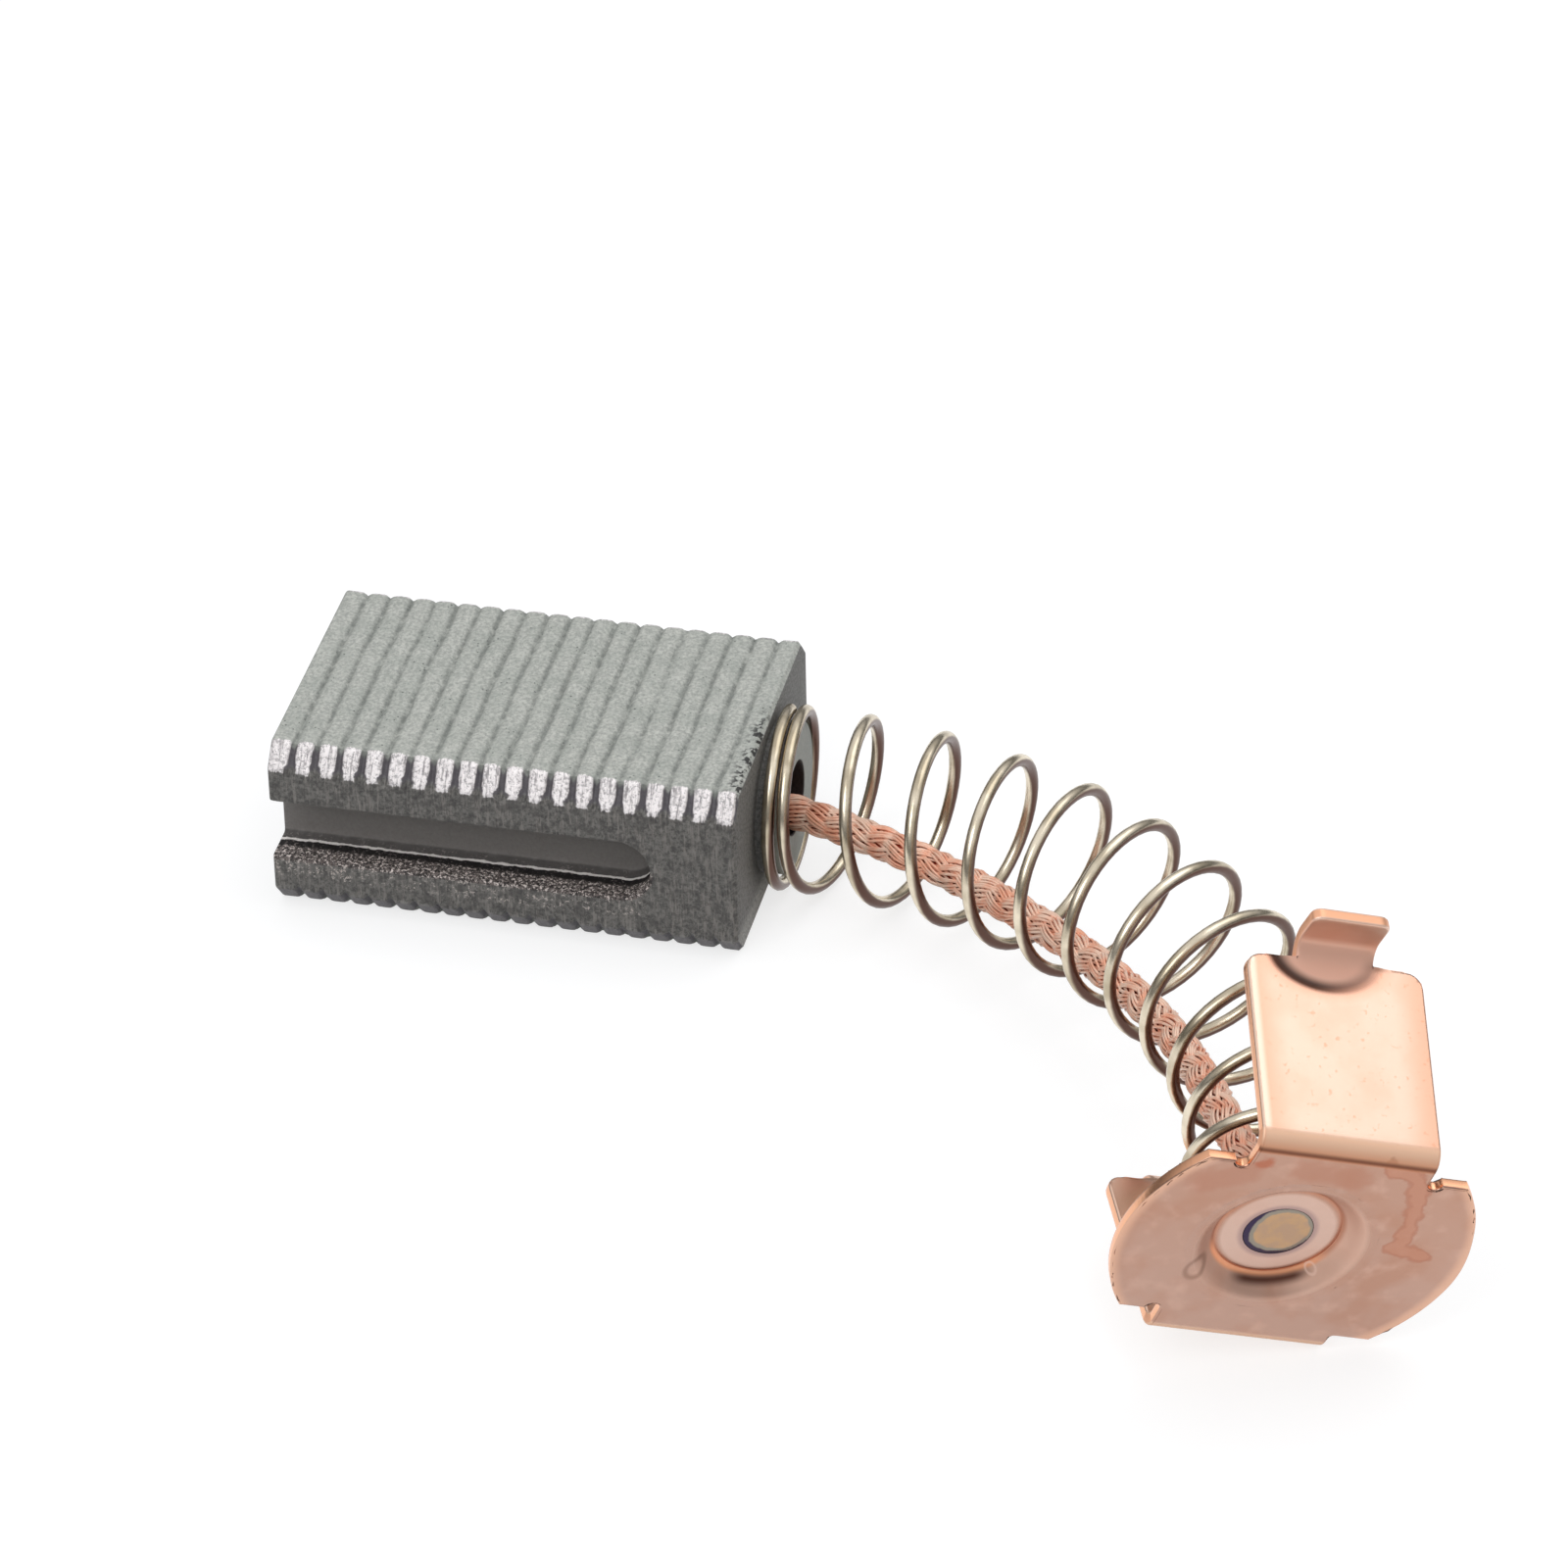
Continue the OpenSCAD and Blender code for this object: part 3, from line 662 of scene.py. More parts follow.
bronze_steel, shader, node, into = new_material("bronze_tinted_steel")
cloud = clouds(node, spot_in_mm(node), 0.9, 3.0)
tint = mixed(node, ramped(node, cloud, 0.35, 0.65), rgb(190, 177, 153), rgb(238, 226, 204))
# painted reflection: the wire is darker on its side that faces along (0.75, -0.35, -0.55), standing in
# for the dark surroundings it reflects there
dark_reflection_flank = vector_of(node, "DOT_PRODUCT", node("TexCoord").outputs["Normal"], (0.75, -0.35, -0.55))
tint = mixed(node, ramped(node, dark_reflection_flank, 0.3, 0.7), tint, rgb(96, 72, 64))
into(tint, "Base Color")
shader.inputs["Metallic"].default_value = 1.0
shader.inputs["Roughness"].default_value = 0.27
spring.data.materials.append(bronze_steel)


# Braid
# The flexible lead: twelve bundles of fine bare copper wires, braided over and
# under each other. It runs from the plug through the spring to the weld.
BRAID_D, BRAID_SLACK = 0.88, 1.55
BRAID_DROP = HOLE_R - BRAID_D / 2 - 0.2
BRAID_TAIL = 3 * HOLE_DEPTH / 4 - 0.01
COLLAR_T = 0.3
BUNDLES, WIRES, FINE_D, FINE_SIDES = 6, 4, 0.078, 5
BRAID_LAY, WEAVE = 7.2, 0.05
CORE_R, CORE_SIDES, LEAD_STEP = 0.27, 10, 0.12
# Angle from wire to wire in a bundle, how far a wire strays, and how its bundle bulges
WIRE_ANGLE, STRAY_ANGLE, STRAY, BULGE = 0.225, 0.2, 0.02, 0.018

middle_wire = (WIRES - 1) / 2
braid_end = path_length - (DIMPLE_DEPTH + COLLAR_T) - 0.01


def braid_place(s):
    """Points of the braid's middle at the lengths s, which are below 0 in the hole"""
    p = np.clip(s, 0, None)
    share = p / braid_end
    off = (BRAID_DROP * (1 - share) ** 8 + BRAID_SLACK * (1 - (1 - share) ** 5)) * (1 - share ** 12)
    _, side, up = path_frame(p)
    a = np.radians(90 * share)[:, None]
    in_hole = np.minimum(s, 0)[:, None] * np.array([1.0, 0, 0])
    return path_place(p) + off[:, None] * (np.sin(a) * side - np.cos(a) * up) + in_hole


def braid_frame(s):
    way = unit(braid_place(s + 0.1) - braid_place(s - 0.1))
    way = np.where((s < 0.1)[:, None], np.array([1.0, 0, 0]), way)
    side = unit(np.cross(way, [0, 0, 1]))
    return way, side, np.cross(side, way)


s = np.arange(-BRAID_TAIL, braid_end, LEAD_STEP)
s[-1] = braid_end
middle = braid_place(s)
way, side, up = braid_frame(s)
points, faces = tube(middle, up, side, CORE_R, CORE_SIDES)
points = list(points)
# the core's points get the lowest mark, so that the core is painted darkest, as shade between the wires
outer = [-1.0] * len(points)
phase = 2 * math.pi * s / BRAID_LAY
wire_round = np.cos(np.linspace(0, 2 * math.pi, FINE_SIDES, endpoint=False))
for turn in (1, -1):
    for bundle in range(BUNDLES):
        for wire in range(WIRES):
            beside_middle = wire - middle_wire
            stray = [noise.noise((q * 1.1, wire * 3.7 + bundle * 9.1, turn * 4.3)) for q in s]
            stray = np.array(stray)
            a = turn * phase + 2 * math.pi * bundle / BUNDLES + beside_middle * WIRE_ANGLE
            a = a + STRAY_ANGLE * stray
            lift = turn * WEAVE * np.cos(BUNDLES * phase)
            crown = BULGE * (1 - (abs(beside_middle) / middle_wire) ** 2)
            r = BRAID_D / 2 - FINE_D / 2 - WEAVE + lift + crown + STRAY * stray
            out = np.cos(a)[:, None] * up + np.sin(a)[:, None] * side
            centre = middle + r[:, None] * out
            ahead = unit(np.gradient(centre, axis=0))
            sideways = unit(np.cross(ahead, out))
            more, more_faces = tube(centre, np.cross(sideways, ahead), sideways, FINE_D / 2, FINE_SIDES)
            faces += [tuple(q + len(points) for q in f) for f in more_faces]
            points += list(more)
            risen = np.repeat((lift + crown) / WEAVE, FINE_SIDES)
            outer += list(np.tile(wire_round, len(s)) * 0.7 + risen * 0.3)
braid = add_piece(
    "braided_lead", points, faces, "copper_braid", "pigtail", sharp=80,
    marks={"outer": [(q, 0, 0) for q in outer]})

bare_copper, shader, node, into = new_material("bare_copper_wires")
cloud = clouds(node, spot_in_mm(node), 2.2, 3.0)
outer_side = node("SeparateXYZ", {0: node("Attribute", attribute_name="outer").outputs["Vector"]})
lit = mixed(node, ramped(node, cloud, 0.35, 0.65), rgb(255, 186, 154), rgb(255, 220, 198))
# painted shade: the inner sides of the wires and the core are dark red-brown, the outer sides keep the
# wires' own colour
out_of_painted_shade = ramped(node, outer_side.outputs["X"], -0.4, 0.05)
into(mixed(node, out_of_painted_shade, rgb(176, 62, 38), lit), "Base Color")
shader.inputs["Metallic"].default_value = 0.1
shader.inputs["Roughness"].default_value = 0.22
braid.data.materials.append(bare_copper)


# Terminal cap
# One piece of copper sheet: a round plate with a pressed dimple, two legs
# folded back and a tab turned out at the end of each. The blank is laid out
# flat, cut to its outline, and folded point by point, with its edges rounded.
CAP_R, SHOULDER_REACH, LEG_REACH = 4.25, 2.75, 3.65
SWELL, SWOLLEN_REACH = 0.11, 2.97
LEG_W, LEG_L, UPPER_SPLAY, LOWER_SPLAY, FOLD_R = 4.45, 4.95, 12.5, 7, 0.5
TAB_W, TAB_L, TAB_BEND, TAB_R = 1.95, 1.2, 84, 0.35
# The tab's bend begins early in the middle of the leg, with this radius
SCOOP_R = 0.52
CORNER_R, TAB_CORNER_R, NOTCH_R = 0.4, 0.25, 0.18
DIMPLE_R, DIMPLE_FLOOR_R, WELD_R = 1.95, 1.58, 0.825
CREASE_R, CREASE_W, CREASE_D = 1.5, 0.055, 0.03
DENT, DENT_SIZE, DENT_D = (-1.97, -1.17), (0.22, 0.3), 0.04
EDGE_R = 0.06
# A round patch with its own rings of points takes in the dimple
PATCH_R = 2.2
# How far apart the cuts are that make the blank fine enough to fold
PLATE_STEP, LEG_STEP, TAB_STEP = 0.15, 0.16, 0.12

leg_run = LEG_L - FOLD_R
tab_run = TAB_L - TAB_R
fold_start = LEG_REACH - FOLD_R


def blank_lengths(splay):
    """Developed lengths of one leg: end of its fold, of the leg, of the tab's bend and of the tab"""
    fold_end = fold_start + FOLD_R * math.radians(90 - splay)
    leg_end = fold_end + leg_run
    bend_end = leg_end + TAB_R * math.radians(TAB_BEND)
    return fold_end, leg_end, bend_end, bend_end + tab_run


def arc_points(centre, r, start, stop, count):
    return [(centre[0] + r * math.cos(math.radians(a)), centre[1] + r * math.sin(math.radians(a)))
            for a in np.linspace(start, stop, count)]


def leg_outline(splay):
    """Right-hand half of the blank's outline, from the plate's edge up to the tip of one leg"""
    _, leg_end, _, tip = blank_lengths(splay)
    w, t = LEG_W / 2, TAB_W / 2
    shoulder = math.sqrt(CAP_R ** 2 - SHOULDER_REACH ** 2)
    out = [(shoulder, SHOULDER_REACH), (w + 2 * NOTCH_R + 0.02, SHOULDER_REACH)]
    out += arc_points((w + NOTCH_R, SHOULDER_REACH), NOTCH_R, 0, -180, 9)
    out += [(w, fold_start), (w, leg_end - CORNER_R)]
    out += arc_points((w - CORNER_R, leg_end - CORNER_R), CORNER_R, 0, 90, 7)[1:]
    out += [(t, leg_end), (t, tip - TAB_CORNER_R)]
    out += arc_points((t - TAB_CORNER_R, tip - TAB_CORNER_R), TAB_CORNER_R, 0, 90, 5)[1:]
    return out


def smooth_step(x, low, high):
    t = np.clip((x - low) / (high - low), 0, 1)
    return t * t * (3 - 2 * t)


half_turn = math.degrees(math.asin(SHOULDER_REACH / CAP_R))
upper, lower = leg_outline(UPPER_SPLAY), leg_outline(LOWER_SPLAY)
left_half = [(x, -y) for x, y in reversed(lower)]
left_half += arc_points((0, 0), CAP_R, -half_turn, half_turn, 41)[1:-1] + upper

# on the right the plate swells and runs on to the lower fold without a notch
swollen = CAP_R + SWELL
swollen_turn = math.degrees(math.asin(SWOLLEN_REACH / swollen))
past_notch = lower.index((LEG_W / 2, fold_start))
right_half = [(x, -y) for x, y in reversed(lower[past_notch:])]
right_half += [(LEG_W / 2 + 0.01, -SWOLLEN_REACH - 0.06), (LEG_W / 2 + 0.06, -SWOLLEN_REACH - 0.01)]
right_half += [(LEG_W / 2 + 0.14, -SWOLLEN_REACH)]
for angle in np.linspace(-swollen_turn, half_turn, 42)[:-1]:
    r = swollen - SWELL * float(smooth_step(angle, -10, 18))
    right_half.append((r * math.cos(math.radians(angle)), r * math.sin(math.radians(angle))))
right_half += upper


def blank_half(side):
    """One half of the flat blank as a face, with the round patch for the dimple left out"""
    loop = [(side * x, y) for x, y in (right_half if side > 0 else left_half)]
    loop = [(-DIMPLE_ASIDE, loop[0][1])] + loop + [(-DIMPLE_ASIDE, loop[-1][1])]
    turn = np.linspace(0, math.pi, 49)
    circle = [(side * math.sin(a) * PATCH_R - DIMPLE_ASIDE, math.cos(a) * PATCH_R) for a in turn]
    return loop + circle


def at_patch(v):
    """Whether a point lies on the edge of the round patch"""
    return abs(math.hypot(v.co.x + DIMPLE_ASIDE, v.co.y) - PATCH_R) < 0.05


sheet = bmesh.new()
for side in (1, -1):
    verts = [sheet.verts.new((x, y, 0)) for x, y in blank_half(side)]
    sheet.faces.new(verts if side > 0 else verts[::-1])
bmesh.ops.remove_doubles(sheet, verts=sheet.verts, dist=1e-5)
upper_lengths, lower_lengths = blank_lengths(UPPER_SPLAY), blank_lengths(LOWER_SPLAY)
across_cuts = list(np.arange(-4.05, 4.21, PLATE_STEP) - DIMPLE_ASIDE + PLATE_STEP / 2)
along_cuts = list(np.arange(-2.7, 2.71, PLATE_STEP))
for sign, (fold_end, leg_end, bend_end, tip) in ((1, upper_lengths), (-1, lower_lengths)):
    along_cuts += [sign * q for q in np.linspace(fold_start, fold_end, 15)]
    along_cuts += [sign * q for q in np.arange(fold_end + LEG_STEP, leg_end - 0.5, LEG_STEP)]
    along_cuts += [sign * q for q in np.linspace(leg_end - 0.48, bend_end, 22)]
    along_cuts += [sign * q for q in np.arange(bend_end + TAB_STEP, tip - 0.05, TAB_STEP)]
    along_cuts += [sign * q for q in (2.85, 3.0)]
for normal, places in (((1, 0, 0), across_cuts), ((0, 1, 0), along_cuts)):
    for q in places:
        bmesh.ops.bisect_plane(
            sheet, geom=sheet.verts[:] + sheet.edges[:] + sheet.faces[:], dist=1e-5,
            plane_co=Vector(normal) * q, plane_no=normal)
bmesh.ops.remove_doubles(sheet, verts=sheet.verts, dist=0.004)
bmesh.ops.remove_doubles(sheet, verts=[v for v in sheet.verts if at_patch(v)], dist=0.045)
sheet.verts.ensure_lookup_table()
flat_points = [(v.co.x, v.co.y) for v in sheet.verts]
flat_faces = []
for f in sheet.faces:
    corners = [v.index for v in f.verts]
    flat_faces.append(corners if f.normal.z > 0 else corners[::-1])
rim = sorted(
    (math.atan2(v.co.y, v.co.x + DIMPLE_ASIDE), v.index)
    for v in sheet.verts if at_patch(v) and v.is_boundary)
sheet.free()

# the patch's own rings, close together over the dimple's wall, down to the weld's hole
ring = [index for _, index in rim]
ring_radii = (2.08, 1.98, 1.92, 1.86, 1.8, 1.74, 1.68, 1.62, 1.56, 1.5, 1.44, 1.38, 1.28, 1.15, 1.0, 0.9)
for r in (*ring_radii, WELD_R + 0.005):
    inner = []
    for angle, _ in rim:
        inner.append(len(flat_points))
        flat_points.append((r * math.cos(angle) - DIMPLE_ASIDE, r * math.sin(angle)))
    flat_faces += [list(f)[::-1] for f in band(ring, inner)]
    ring = inner
flat_points = np.array(flat_points)

# the closed loops round the blank's edge and round the weld's hole
edges = [edge for f in flat_faces for edge in zip(f, f[1:] + f[:1])]
used = set(edges)
left = {a: b for a, b in edges if (b, a) not in used}
loops = []
while left:
    start, here = next(iter(left.items()))
    loop = [start]
    del left[start]
    while here != start:
        loop.append(here)
        here = left.pop(here)
    loops.append(loop)


def bent_tab(length):
    """Where a length of the scooped middle of a leg goes, along the leg and out from it, and its turn"""
    bend = math.radians(TAB_BEND)
    corner = leg_run + TAB_R * math.tan(bend / 2)
    start = corner - SCOOP_R * math.tan(bend / 2)
    if length <= start:
        return np.array([length, 0.0]), 0.0
    stretch = (leg_run - start) + TAB_R * bend
    share = (length - start) / stretch
    if share < 1:
        a = share * bend
        return np.array([start + SCOOP_R * math.sin(a), SCOOP_R - SCOOP_R * math.cos(a)]), a
    rest = (length - leg_run - TAB_R * bend) / tab_run
    full = tab_run - (SCOOP_R - TAB_R) * math.tan(bend / 2)
    reach = SCOOP_R * math.tan(bend / 2) + rest * full
    return np.array([corner + reach * math.cos(bend), reach * math.sin(bend)]), bend


def section(q, lateral, splay):
    """Where a point of the blank goes in the leg's own section, and the sheet's outward normal there"""
    fold_end = blank_lengths(splay)[0]
    if q <= fold_start:
        return np.array([q, 0.0]), np.array([0.0, 1.0])
    if q <= fold_end:
        a = (q - fold_start) / FOLD_R
        return (np.array([fold_start + FOLD_R * math.sin(a), FOLD_R * math.cos(a) - FOLD_R]),
                np.array([math.sin(a), math.cos(a)]))
    f = math.radians(90 - splay)
    along = np.array([math.cos(f), -math.sin(f)])
    out = np.array([math.sin(f), math.cos(f)])
    root = np.array([fold_start + FOLD_R * math.sin(f), FOLD_R * math.cos(f) - FOLD_R])
    scoop = float(1 - smooth_step(abs(lateral), TAB_W / 2 + 0.02, TAB_W / 2 + 0.42))
    if q - fold_end > leg_run:
        scoop = 1.0
    p, a = bent_tab(q - fold_end)
    p = p * scoop + np.array([q - fold_end, 0.0]) * (1 - scoop)
    a *= scoop
    return root + along * p[0] + out * p[1], out * math.cos(a) - along * math.sin(a)


def dish(x, y):
    """Height of the plate's outer face, in the dimple, at its crease and in the dent"""
    r = math.hypot(x + DIMPLE_ASIDE, y)
    depth = -DIMPLE_DEPTH * float(1 - smooth_step(r, DIMPLE_FLOOR_R - 0.1, DIMPLE_R + 0.12))
    crease = CREASE_D * math.exp(-((r - CREASE_R) / CREASE_W) ** 2)
    off = (x - DENT[0]) / DENT_SIZE[0], (y - DENT[1]) / DENT_SIZE[1]
    return depth - crease - DENT_D * math.exp(-off[0] ** 2 - off[1] ** 2)


def folded(x, y, depth):
    """A point of the blank, at a depth below its outer face, in the cap's own frame"""
    (v, n), normal = section(abs(y), x, UPPER_SPLAY if y > 0 else LOWER_SPLAY)
    if abs(y) < fold_start:
        n += dish(x, y)
    v, n = v - normal[0] * depth, n - normal[1] * depth
    return np.array([x, v if y > 0 else -v, n])


def at_hole(x, y):
    """Whether an edge of the blank is that of the weld's hole, which stays sharp"""
    return math.hypot(x + DIMPLE_ASIDE, y) < 1


outward = {}
for loop in loops:
    for i, here in enumerate(loop):
        before, after = flat_points[loop[i - 1]], flat_points[loop[(i + 1) % len(loop)]]
        way = after - before
        outward[here] = unit(np.array([way[1], -way[0]]))

cap_points, blank_places = [], []
front, back = {}, {}


def add_point(x, y, depth):
    cap_points.append(folded(x, y, depth))
    blank_places.append((x, y, depth))
    return len(cap_points) - 1


faces = []
for index, (x, y) in enumerate(flat_points):
    rounded = index in outward and not at_hole(x, y)
    inset = EDGE_R * outward[index] if rounded else np.zeros(2)
    front[index] = add_point(x - inset[0], y - inset[1], 0)
    back[index] = add_point(x - inset[0], y - inset[1], SHEET_T)
faces += [tuple(front[i] for i in f) for f in flat_faces]
faces += [tuple(back[i] for i in reversed(f)) for f in flat_faces]
# over a rounded edge, from the front: how far out each row of points is, and how deep
edge_rows = [(EDGE_R * (math.sin(a) - 1), EDGE_R * (1 - math.cos(a))) for a in np.radians((30, 60, 90))]
edge_rows += [(out, SHEET_T - depth) for out, depth in reversed(edge_rows)]
for loop in loops:
    rows = [[front[i] for i in loop]]
    if not at_hole(*flat_points[loop[0]]):
        for out, depth in edge_rows:
            rows.append([add_point(*(flat_points[i] + out * outward[i]), depth) for i in loop])
    rows.append([back[i] for i in loop])
    for a, b in zip(rows, rows[1:]):
        faces += zip(a, b, b[1:] + b[:1], a[1:] + a[:1])

cap = add_piece(
    "folded_copper_cap", CAP_POS + np.array(cap_points) @ cap_axes.T, faces, "copper_sheet",
    "terminal_cap", sharp=50, marks={"blank": blank_places})

copper, shader, node, into = new_material("stamped_copper")
blank = node("Attribute", attribute_name="blank").outputs["Vector"]
axes = node("SeparateXYZ", {0: blank})
right, up_blank, depth = axes.outputs["X"], axes.outputs["Y"], axes.outputs["Z"]
aside, off_middle = math_of(node, "ABSOLUTE", right), math_of(node, "ABSOLUTE", up_blank)
cloud = clouds(node, blank, 0.55, 3.0)
wander = node("TexNoise", {"Vector": blank, "Scale": 1.9, "Detail": 3.0}).outputs["Color"]
wander = vector_of(node, "SUBTRACT", wander, (0.5, 0.5, 0.5))
wander = vector_of(node, "MULTIPLY", wander, (0.6, 0.6, 0.0))
loose = vector_of(node, "ADD", blank, wander)


def distance(place, x, y):
    """Distance of a place on the blank from a point"""
    return vector_of(node, "DISTANCE", place, (x, y, 0))


def to_line(place, start, stop):
    """Distance of a place on the blank from the straight stretch between two points"""
    run = (stop[0] - start[0], stop[1] - start[1], 0)
    length_squared = run[0] ** 2 + run[1] ** 2
    from_start = vector_of(node, "SUBTRACT", place, (*start, 0))
    share = vector_of(node, "DOT_PRODUCT", from_start, tuple(c / length_squared for c in run))
    share = node("Clamp", {"Value": share}).outputs[0]
    nearest = node("VectorMath", {0: run, "Scale": share}, operation="SCALE").outputs[0]
    return vector_of(node, "DISTANCE", from_start, nearest)


def oval(centre, half_size):
    """Distance of a place on the blank from a centre, as a share of an oval's half width and height"""
    scale = [1 / half for half in half_size]
    shift = [-place / half for place, half in zip(centre, half_size)]
    return vector_of(node, "LENGTH", vector_of(node, "MULTIPLY_ADD", blank, (*scale, 0), (*shift, 0)))


# the plate: brownish pink with paler smears, and bright at its rim
tint = mixed(node, ramped(node, up_blank, -3.0, 3.0), rgb(192, 157, 141), rgb(190, 150, 131))
tint = mixed(node, ramped(node, cloud, 0.42, 0.66, 0.0, 0.6), tint, rgb(184, 136, 113))
smears = clouds(node, blank, 1.3, 4.0)
tint = mixed(node, ramped(node, smears, 0.5, 0.75, 0.0, 0.5), tint, rgb(212, 174, 156))
at_rim = ramped(node, distance(blank, 0, 0), CAP_R - 0.3, CAP_R, 0.0, 0.7)
tint = mixed(node, at_rim, tint, rgb(232, 184, 156))

# the legs: pale peach, more orange towards their edges, with a painted highlight along the left edge of
# each; the folds and the tabs are painted paler than the legs, as light on them
leg_tint = mixed(node, ramped(node, aside, 1.3, 2.2), rgb(228, 196, 176), rgb(222, 172, 146))
leg_tint = mixed(node, ramped(node, cloud, 0.4, 0.62, 0.0, 0.4), leg_tint, rgb(222, 176, 150))
flecks = clouds(node, blank, 5.0, 2.0)
leg_tint = mixed(node, ramped(node, flecks, 0.62, 0.72, 0.0, 0.5), leg_tint, rgb(214, 152, 118))
# painted highlight along the left edge of each leg
leg_tint = mixed(node, ramped(node, right, -1.95, -2.1), leg_tint, rgb(240, 208, 188))
on_leg = ramped(node, off_middle, fold_start + 0.05, fold_start + 0.5)
tint = mixed(node, on_leg, tint, leg_tint)
fold_end, leg_end = upper_lengths[:2]
# painted light: the folds are painted paler than the legs
on_fold = between(node, off_middle, fold_start + 0.1, fold_end - 0.05, 0.08)
tint = mixed(node, on_fold, tint, rgb(255, 210, 178))
# painted light: the tabs are painted paler than the legs
on_tab = ramped(node, off_middle, leg_end - 0.05, leg_end + 0.3)
tab_tint = mixed(node, ramped(node, cloud, 0.4, 0.6), rgb(246, 206, 184), rgb(255, 226, 208))
tint = mixed(node, on_tab, tint, tab_tint)

# stains: a dried drop, two faint smudges and a run from the upper fold down beside the dimple; along
# that fold, a painted reflection, an orange band over a dark line
DROP = (-1.9, 2.74)
RUN_ROUTE = ((1.1, 3.2), (1.95, 2.85), (2.2, 2.2), (2.36, 1.5), (2.46, 0.8), (2.34, 0.35))
run_off = to_line(loose, (2.34, 0.4), (3.15, 0.28))
for start, stop in zip(RUN_ROUTE, RUN_ROUTE[1:]):
    run_off = math_of(node, "MINIMUM", run_off, to_line(loose, start, stop))
smudges = math_of(
    node, "MINIMUM",
    to_line(loose, (-0.9, 2.75), (0.5, 2.6)), to_line(loose, (-3.1, 1.9), (-2.2, 2.4)))
tint = mixed(node, ramped(node, smudges, 0.5, 0.15, 0.0, 0.4), tint, rgb(178, 118, 94))
dried = ramped(node, distance(loose, *DROP), 0.34, 0.16, 0.0, 0.85)
tint = mixed(node, dried, tint, rgb(180, 108, 82))
tint = mixed(node, ramped(node, run_off, 0.28, 0.16, 0.0, 0.5), tint, rgb(192, 126, 98))
run_edge = product(node, between(node, run_off, 0.16, 0.24, 0.04), 0.3)
tint = mixed(node, run_edge, tint, rgb(160, 96, 74))
# painted reflection along the upper fold: an orange band, then a dark line next to the plate
fold_orange_reflection = product(
    node, ramped(node, up_blank, fold_start + 0.45, fold_start + 0.12, 0.0, 0.85),
    ramped(node, up_blank, fold_start - 0.05, fold_start + 0.05))
tint = mixed(node, fold_orange_reflection, tint, rgb(222, 154, 116))
fold_dark_reflection = product(node, between(node, up_blank, fold_start + 0.02, fold_start + 0.15, 0.06), 0.9)
tint = mixed(node, fold_dark_reflection, tint, rgb(108, 64, 48))

# the dimple: a wall painted paler as a highlight, most on its right, a paler floor, a brown crease
# between them that is painted shade, with a painted highlight below it, a painted dark reflection as a
# crescent on the lower wall, and the heat tint round the weld
from_dimple = distance(blank, -DIMPLE_ASIDE, 0)
on_wall = between(node, from_dimple, CREASE_R, DIMPLE_R + 0.07, 0.08)
# painted highlight on the dimple's wall, strongest on its right
lit_wall = product(node, on_wall, ramped(node, right, 0.2, 1.2, 0.1, 0.4))
tint = mixed(node, lit_wall, tint, rgb(255, 218, 198))
on_floor = ramped(node, from_dimple, CREASE_R - 0.08, CREASE_R - 0.2, 0.0, 0.5)
tint = mixed(node, on_floor, tint, rgb(234, 204, 190))
# painted shade in the crease, and a painted highlight just outside it below
crease = product(node, between(node, from_dimple, CREASE_R - 0.06, CREASE_R + 0.08, 0.06), 0.75)
tint = mixed(node, crease, tint, rgb(186, 124, 96))
lit_edge = product(
    node, between(node, from_dimple, CREASE_R, CREASE_R + 0.1, 0.05), ramped(node, up_blank, -0.4, -1.0))
tint = mixed(node, lit_edge, tint, rgb(244, 176, 136))
# painted dark reflection on the lower wall
below = distance(blank, 0.45 - DIMPLE_ASIDE, -1.75)
crescent = product(
    node, between(node, from_dimple, CREASE_R + 0.09, CREASE_R + 0.24, 0.08),
    ramped(node, below, 1.2, 0.6), 0.92)
tint = mixed(node, crescent, tint, rgb(84, 46, 34))
near_weld = ramped(node, from_dimple, WELD_R + 0.195, WELD_R + 0.035, 0.0, 0.45)
tint = mixed(node, near_weld, tint, rgb(120, 98, 112))

# small marks: the dent's ring, wider than it is high, and a tiny bright ring
dent_ring = product(node, between(node, oval(DENT, (1, 1 / 0.72)), 0.17, 0.28, 0.05), 0.7)
tint = mixed(node, dent_ring, tint, rgb(150, 116, 100))
ring_mark = product(node, between(node, distance(blank, 0.95, -1.05), 0.09, 0.14, 0.02), 0.5)
tint = mixed(node, ring_mark, tint, rgb(242, 210, 194))

# the scoop under the upper tab: a painted dark reflection shaped as a soft crescent, darkest at its
# left, in a painted orange edge, with painted shade inside the scoop
SCOOP_X, SCOOP_Y, SCOOP_SIZE = -0.25, 8.42, (1.42, 0.95)
scoop = oval((SCOOP_X, SCOOP_Y), SCOOP_SIZE)
tint = mixed(node, ramped(node, scoop, 1.35, 1.0, 0.0, 0.55), tint, rgb(232, 166, 136))
# painted shade inside the scoop
in_scoop = product(
    node, ramped(node, scoop, 1.0, 0.75), ramped(node, up_blank, SCOOP_Y + 0.33, SCOOP_Y + 0.03))
tint = mixed(node, in_scoop, tint, rgb(232, 184, 162))
# painted dark reflection under the tab
under_tab = product(
    node, ramped(node, scoop, 0.6, 0.88), ramped(node, scoop, 1.1, 0.94),
    ramped(node, up_blank, SCOOP_Y + 0.08, SCOOP_Y - 0.22), ramped(node, right, 1.4, -0.7, 0.4, 0.95))
shade = mixed(node, ramped(node, right, -0.6, 0.6), rgb(46, 24, 18), rgb(96, 54, 40))
tint = mixed(node, under_tab, tint, shade)

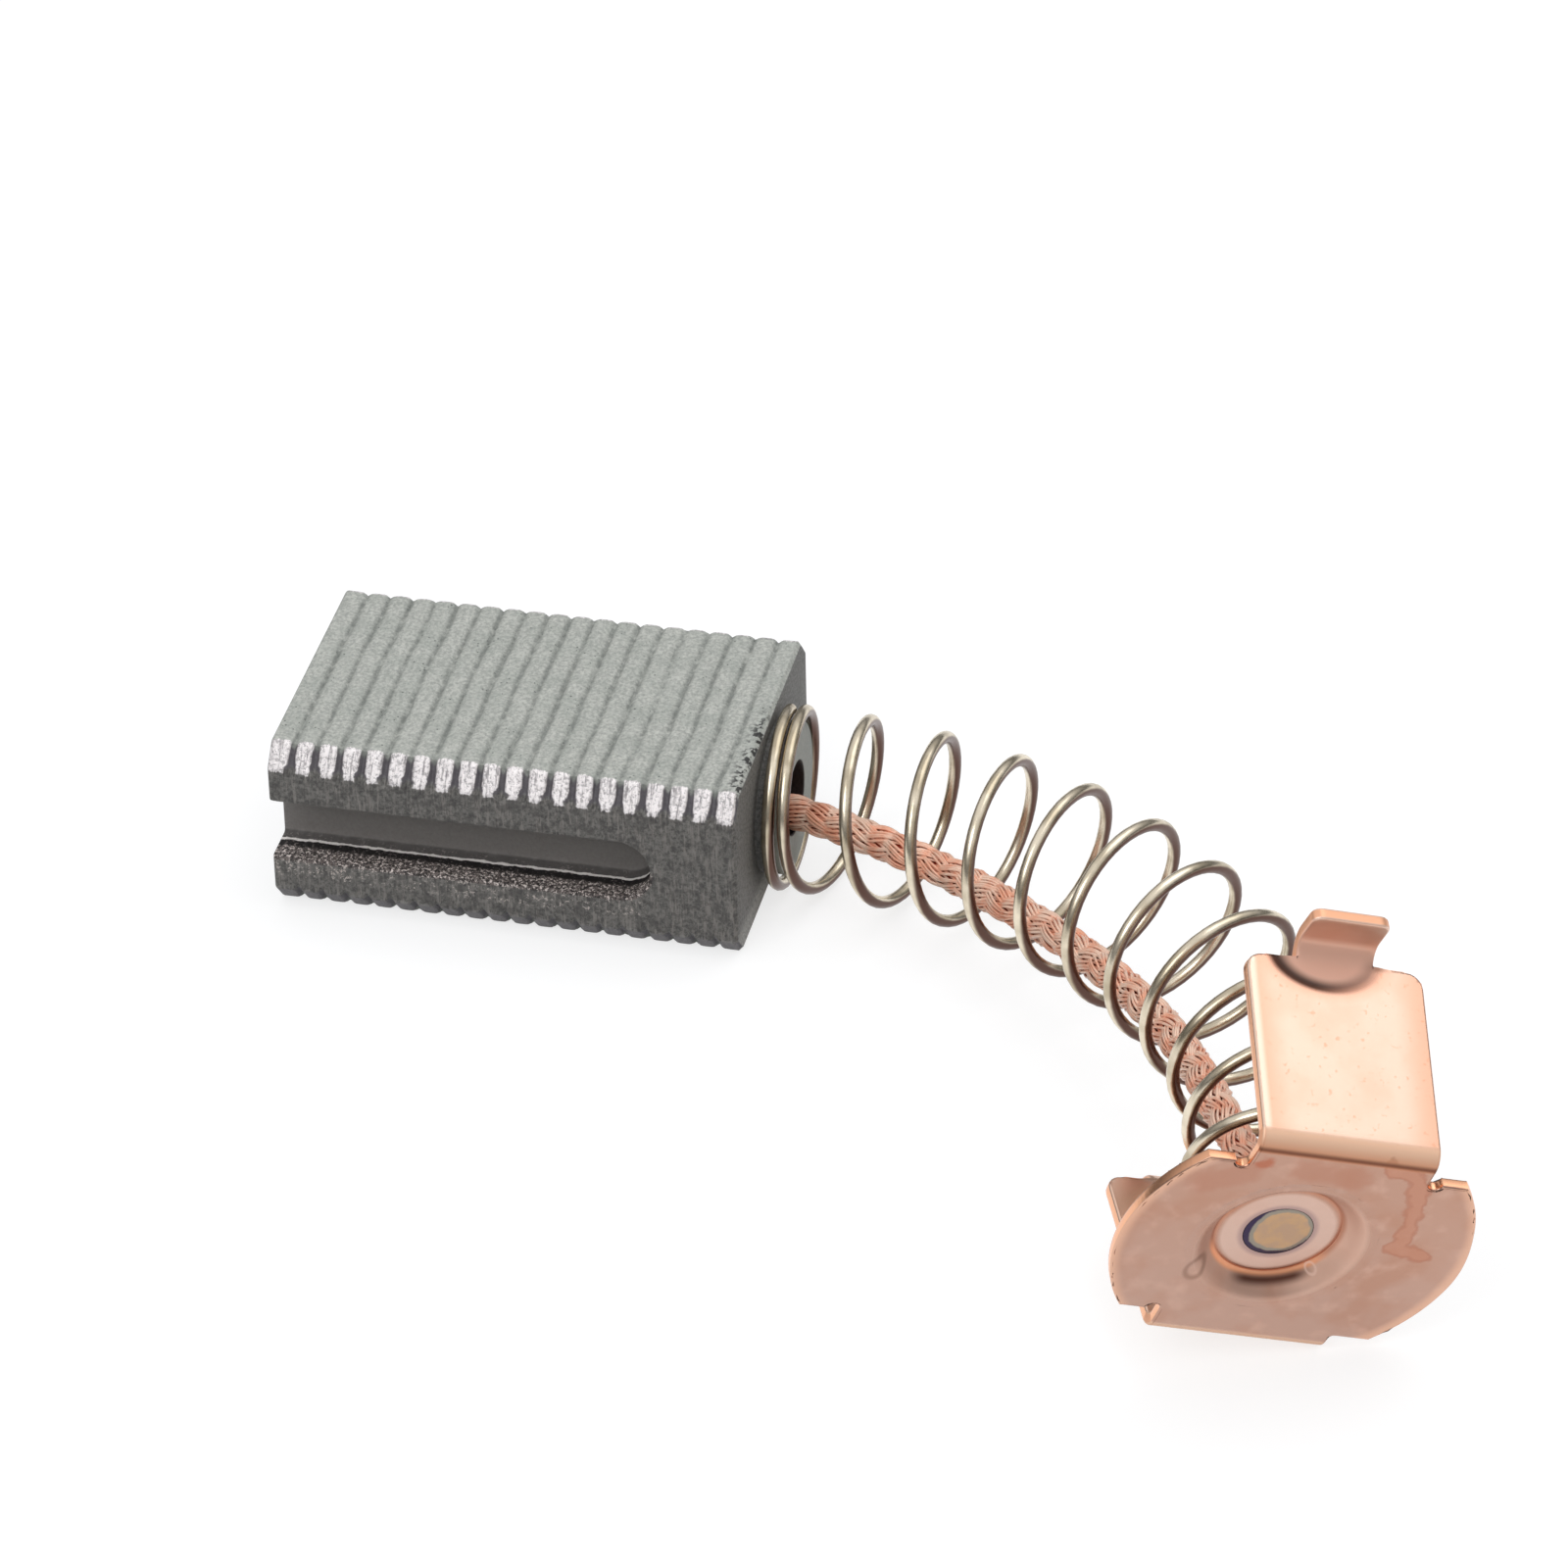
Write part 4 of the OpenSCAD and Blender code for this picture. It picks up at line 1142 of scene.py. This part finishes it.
# the back of the sheet and its cut edges
tint = mixed(node, ramped(node, depth, SHEET_T - 0.03, SHEET_T - 0.01), tint, rgb(238, 200, 178))
tint = mixed(node, between(node, depth, 0.05, SHEET_T - 0.05, 0.02), tint, rgb(246, 184, 146))
into(tint, "Base Color")
matt = math_of(node, "MAXIMUM", product(node, on_tab, 0.5), in_scoop)
dull = math_of(node, "MAXIMUM", matt, product(node, on_fold, 0.6))
into(ramped(node, dull, 0.0, 1.0, 1.0, 0.2), "Metallic")
rough = math_of(node, "MAXIMUM", math_of(node, "MAXIMUM", matt, on_fold), on_wall)
into(ramped(node, rough, 0.0, 1.0, 0.27, 0.55), "Roughness")
cap.data.materials.append(copper)


# Weld
# The fused end of the braid, a flat golden button in the floor of the dimple
# with a heat-tinted edge. It was melted into the cap's hole from outside.
GOLD_ASIDE, GOLD_R, EDGE_TINT_R = 0.07, 0.62, 0.74

fused, shader, node, into = new_material("heat_tinted_weld")
gold_at = dimple_pos + GOLD_ASIDE * cap_u + GOLD_ASIDE * cap_v
from_gold = vector_of(node, "SUBTRACT", spot_in_mm(node), tuple(gold_at))
outward_part = vector_of(node, "DOT_PRODUCT", from_gold, tuple(cap_n))
outward_part = node("VectorMath", {0: tuple(cap_n), "Scale": outward_part}, operation="SCALE").outputs[0]
cloud = clouds(node, spot_in_mm(node), 2.4, 3.0)
from_gold = stirred(node, vector_of(node, "DISTANCE", from_gold, outward_part), cloud, 0.2)
gold = mixed(node, ramped(node, cloud, 0.38, 0.62), rgb(194, 158, 122), rgb(184, 152, 126))
tint = mixed(node, ramped(node, from_gold, GOLD_R, GOLD_R + 0.06), gold, rgb(150, 142, 130))
at_edge = ramped(node, from_gold, EDGE_TINT_R, EDGE_TINT_R + 0.05)
into(mixed(node, at_edge, tint, rgb(66, 56, 80)), "Base Color")
shader.inputs["Metallic"].default_value = 1.0
shader.inputs["Roughness"].default_value = 0.33
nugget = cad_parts["weld_nugget"]
nugget.data.materials.clear()
nugget.data.materials.append(fused)

size = {"cad": cad_box, "visual": [list(corner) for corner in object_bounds()]}
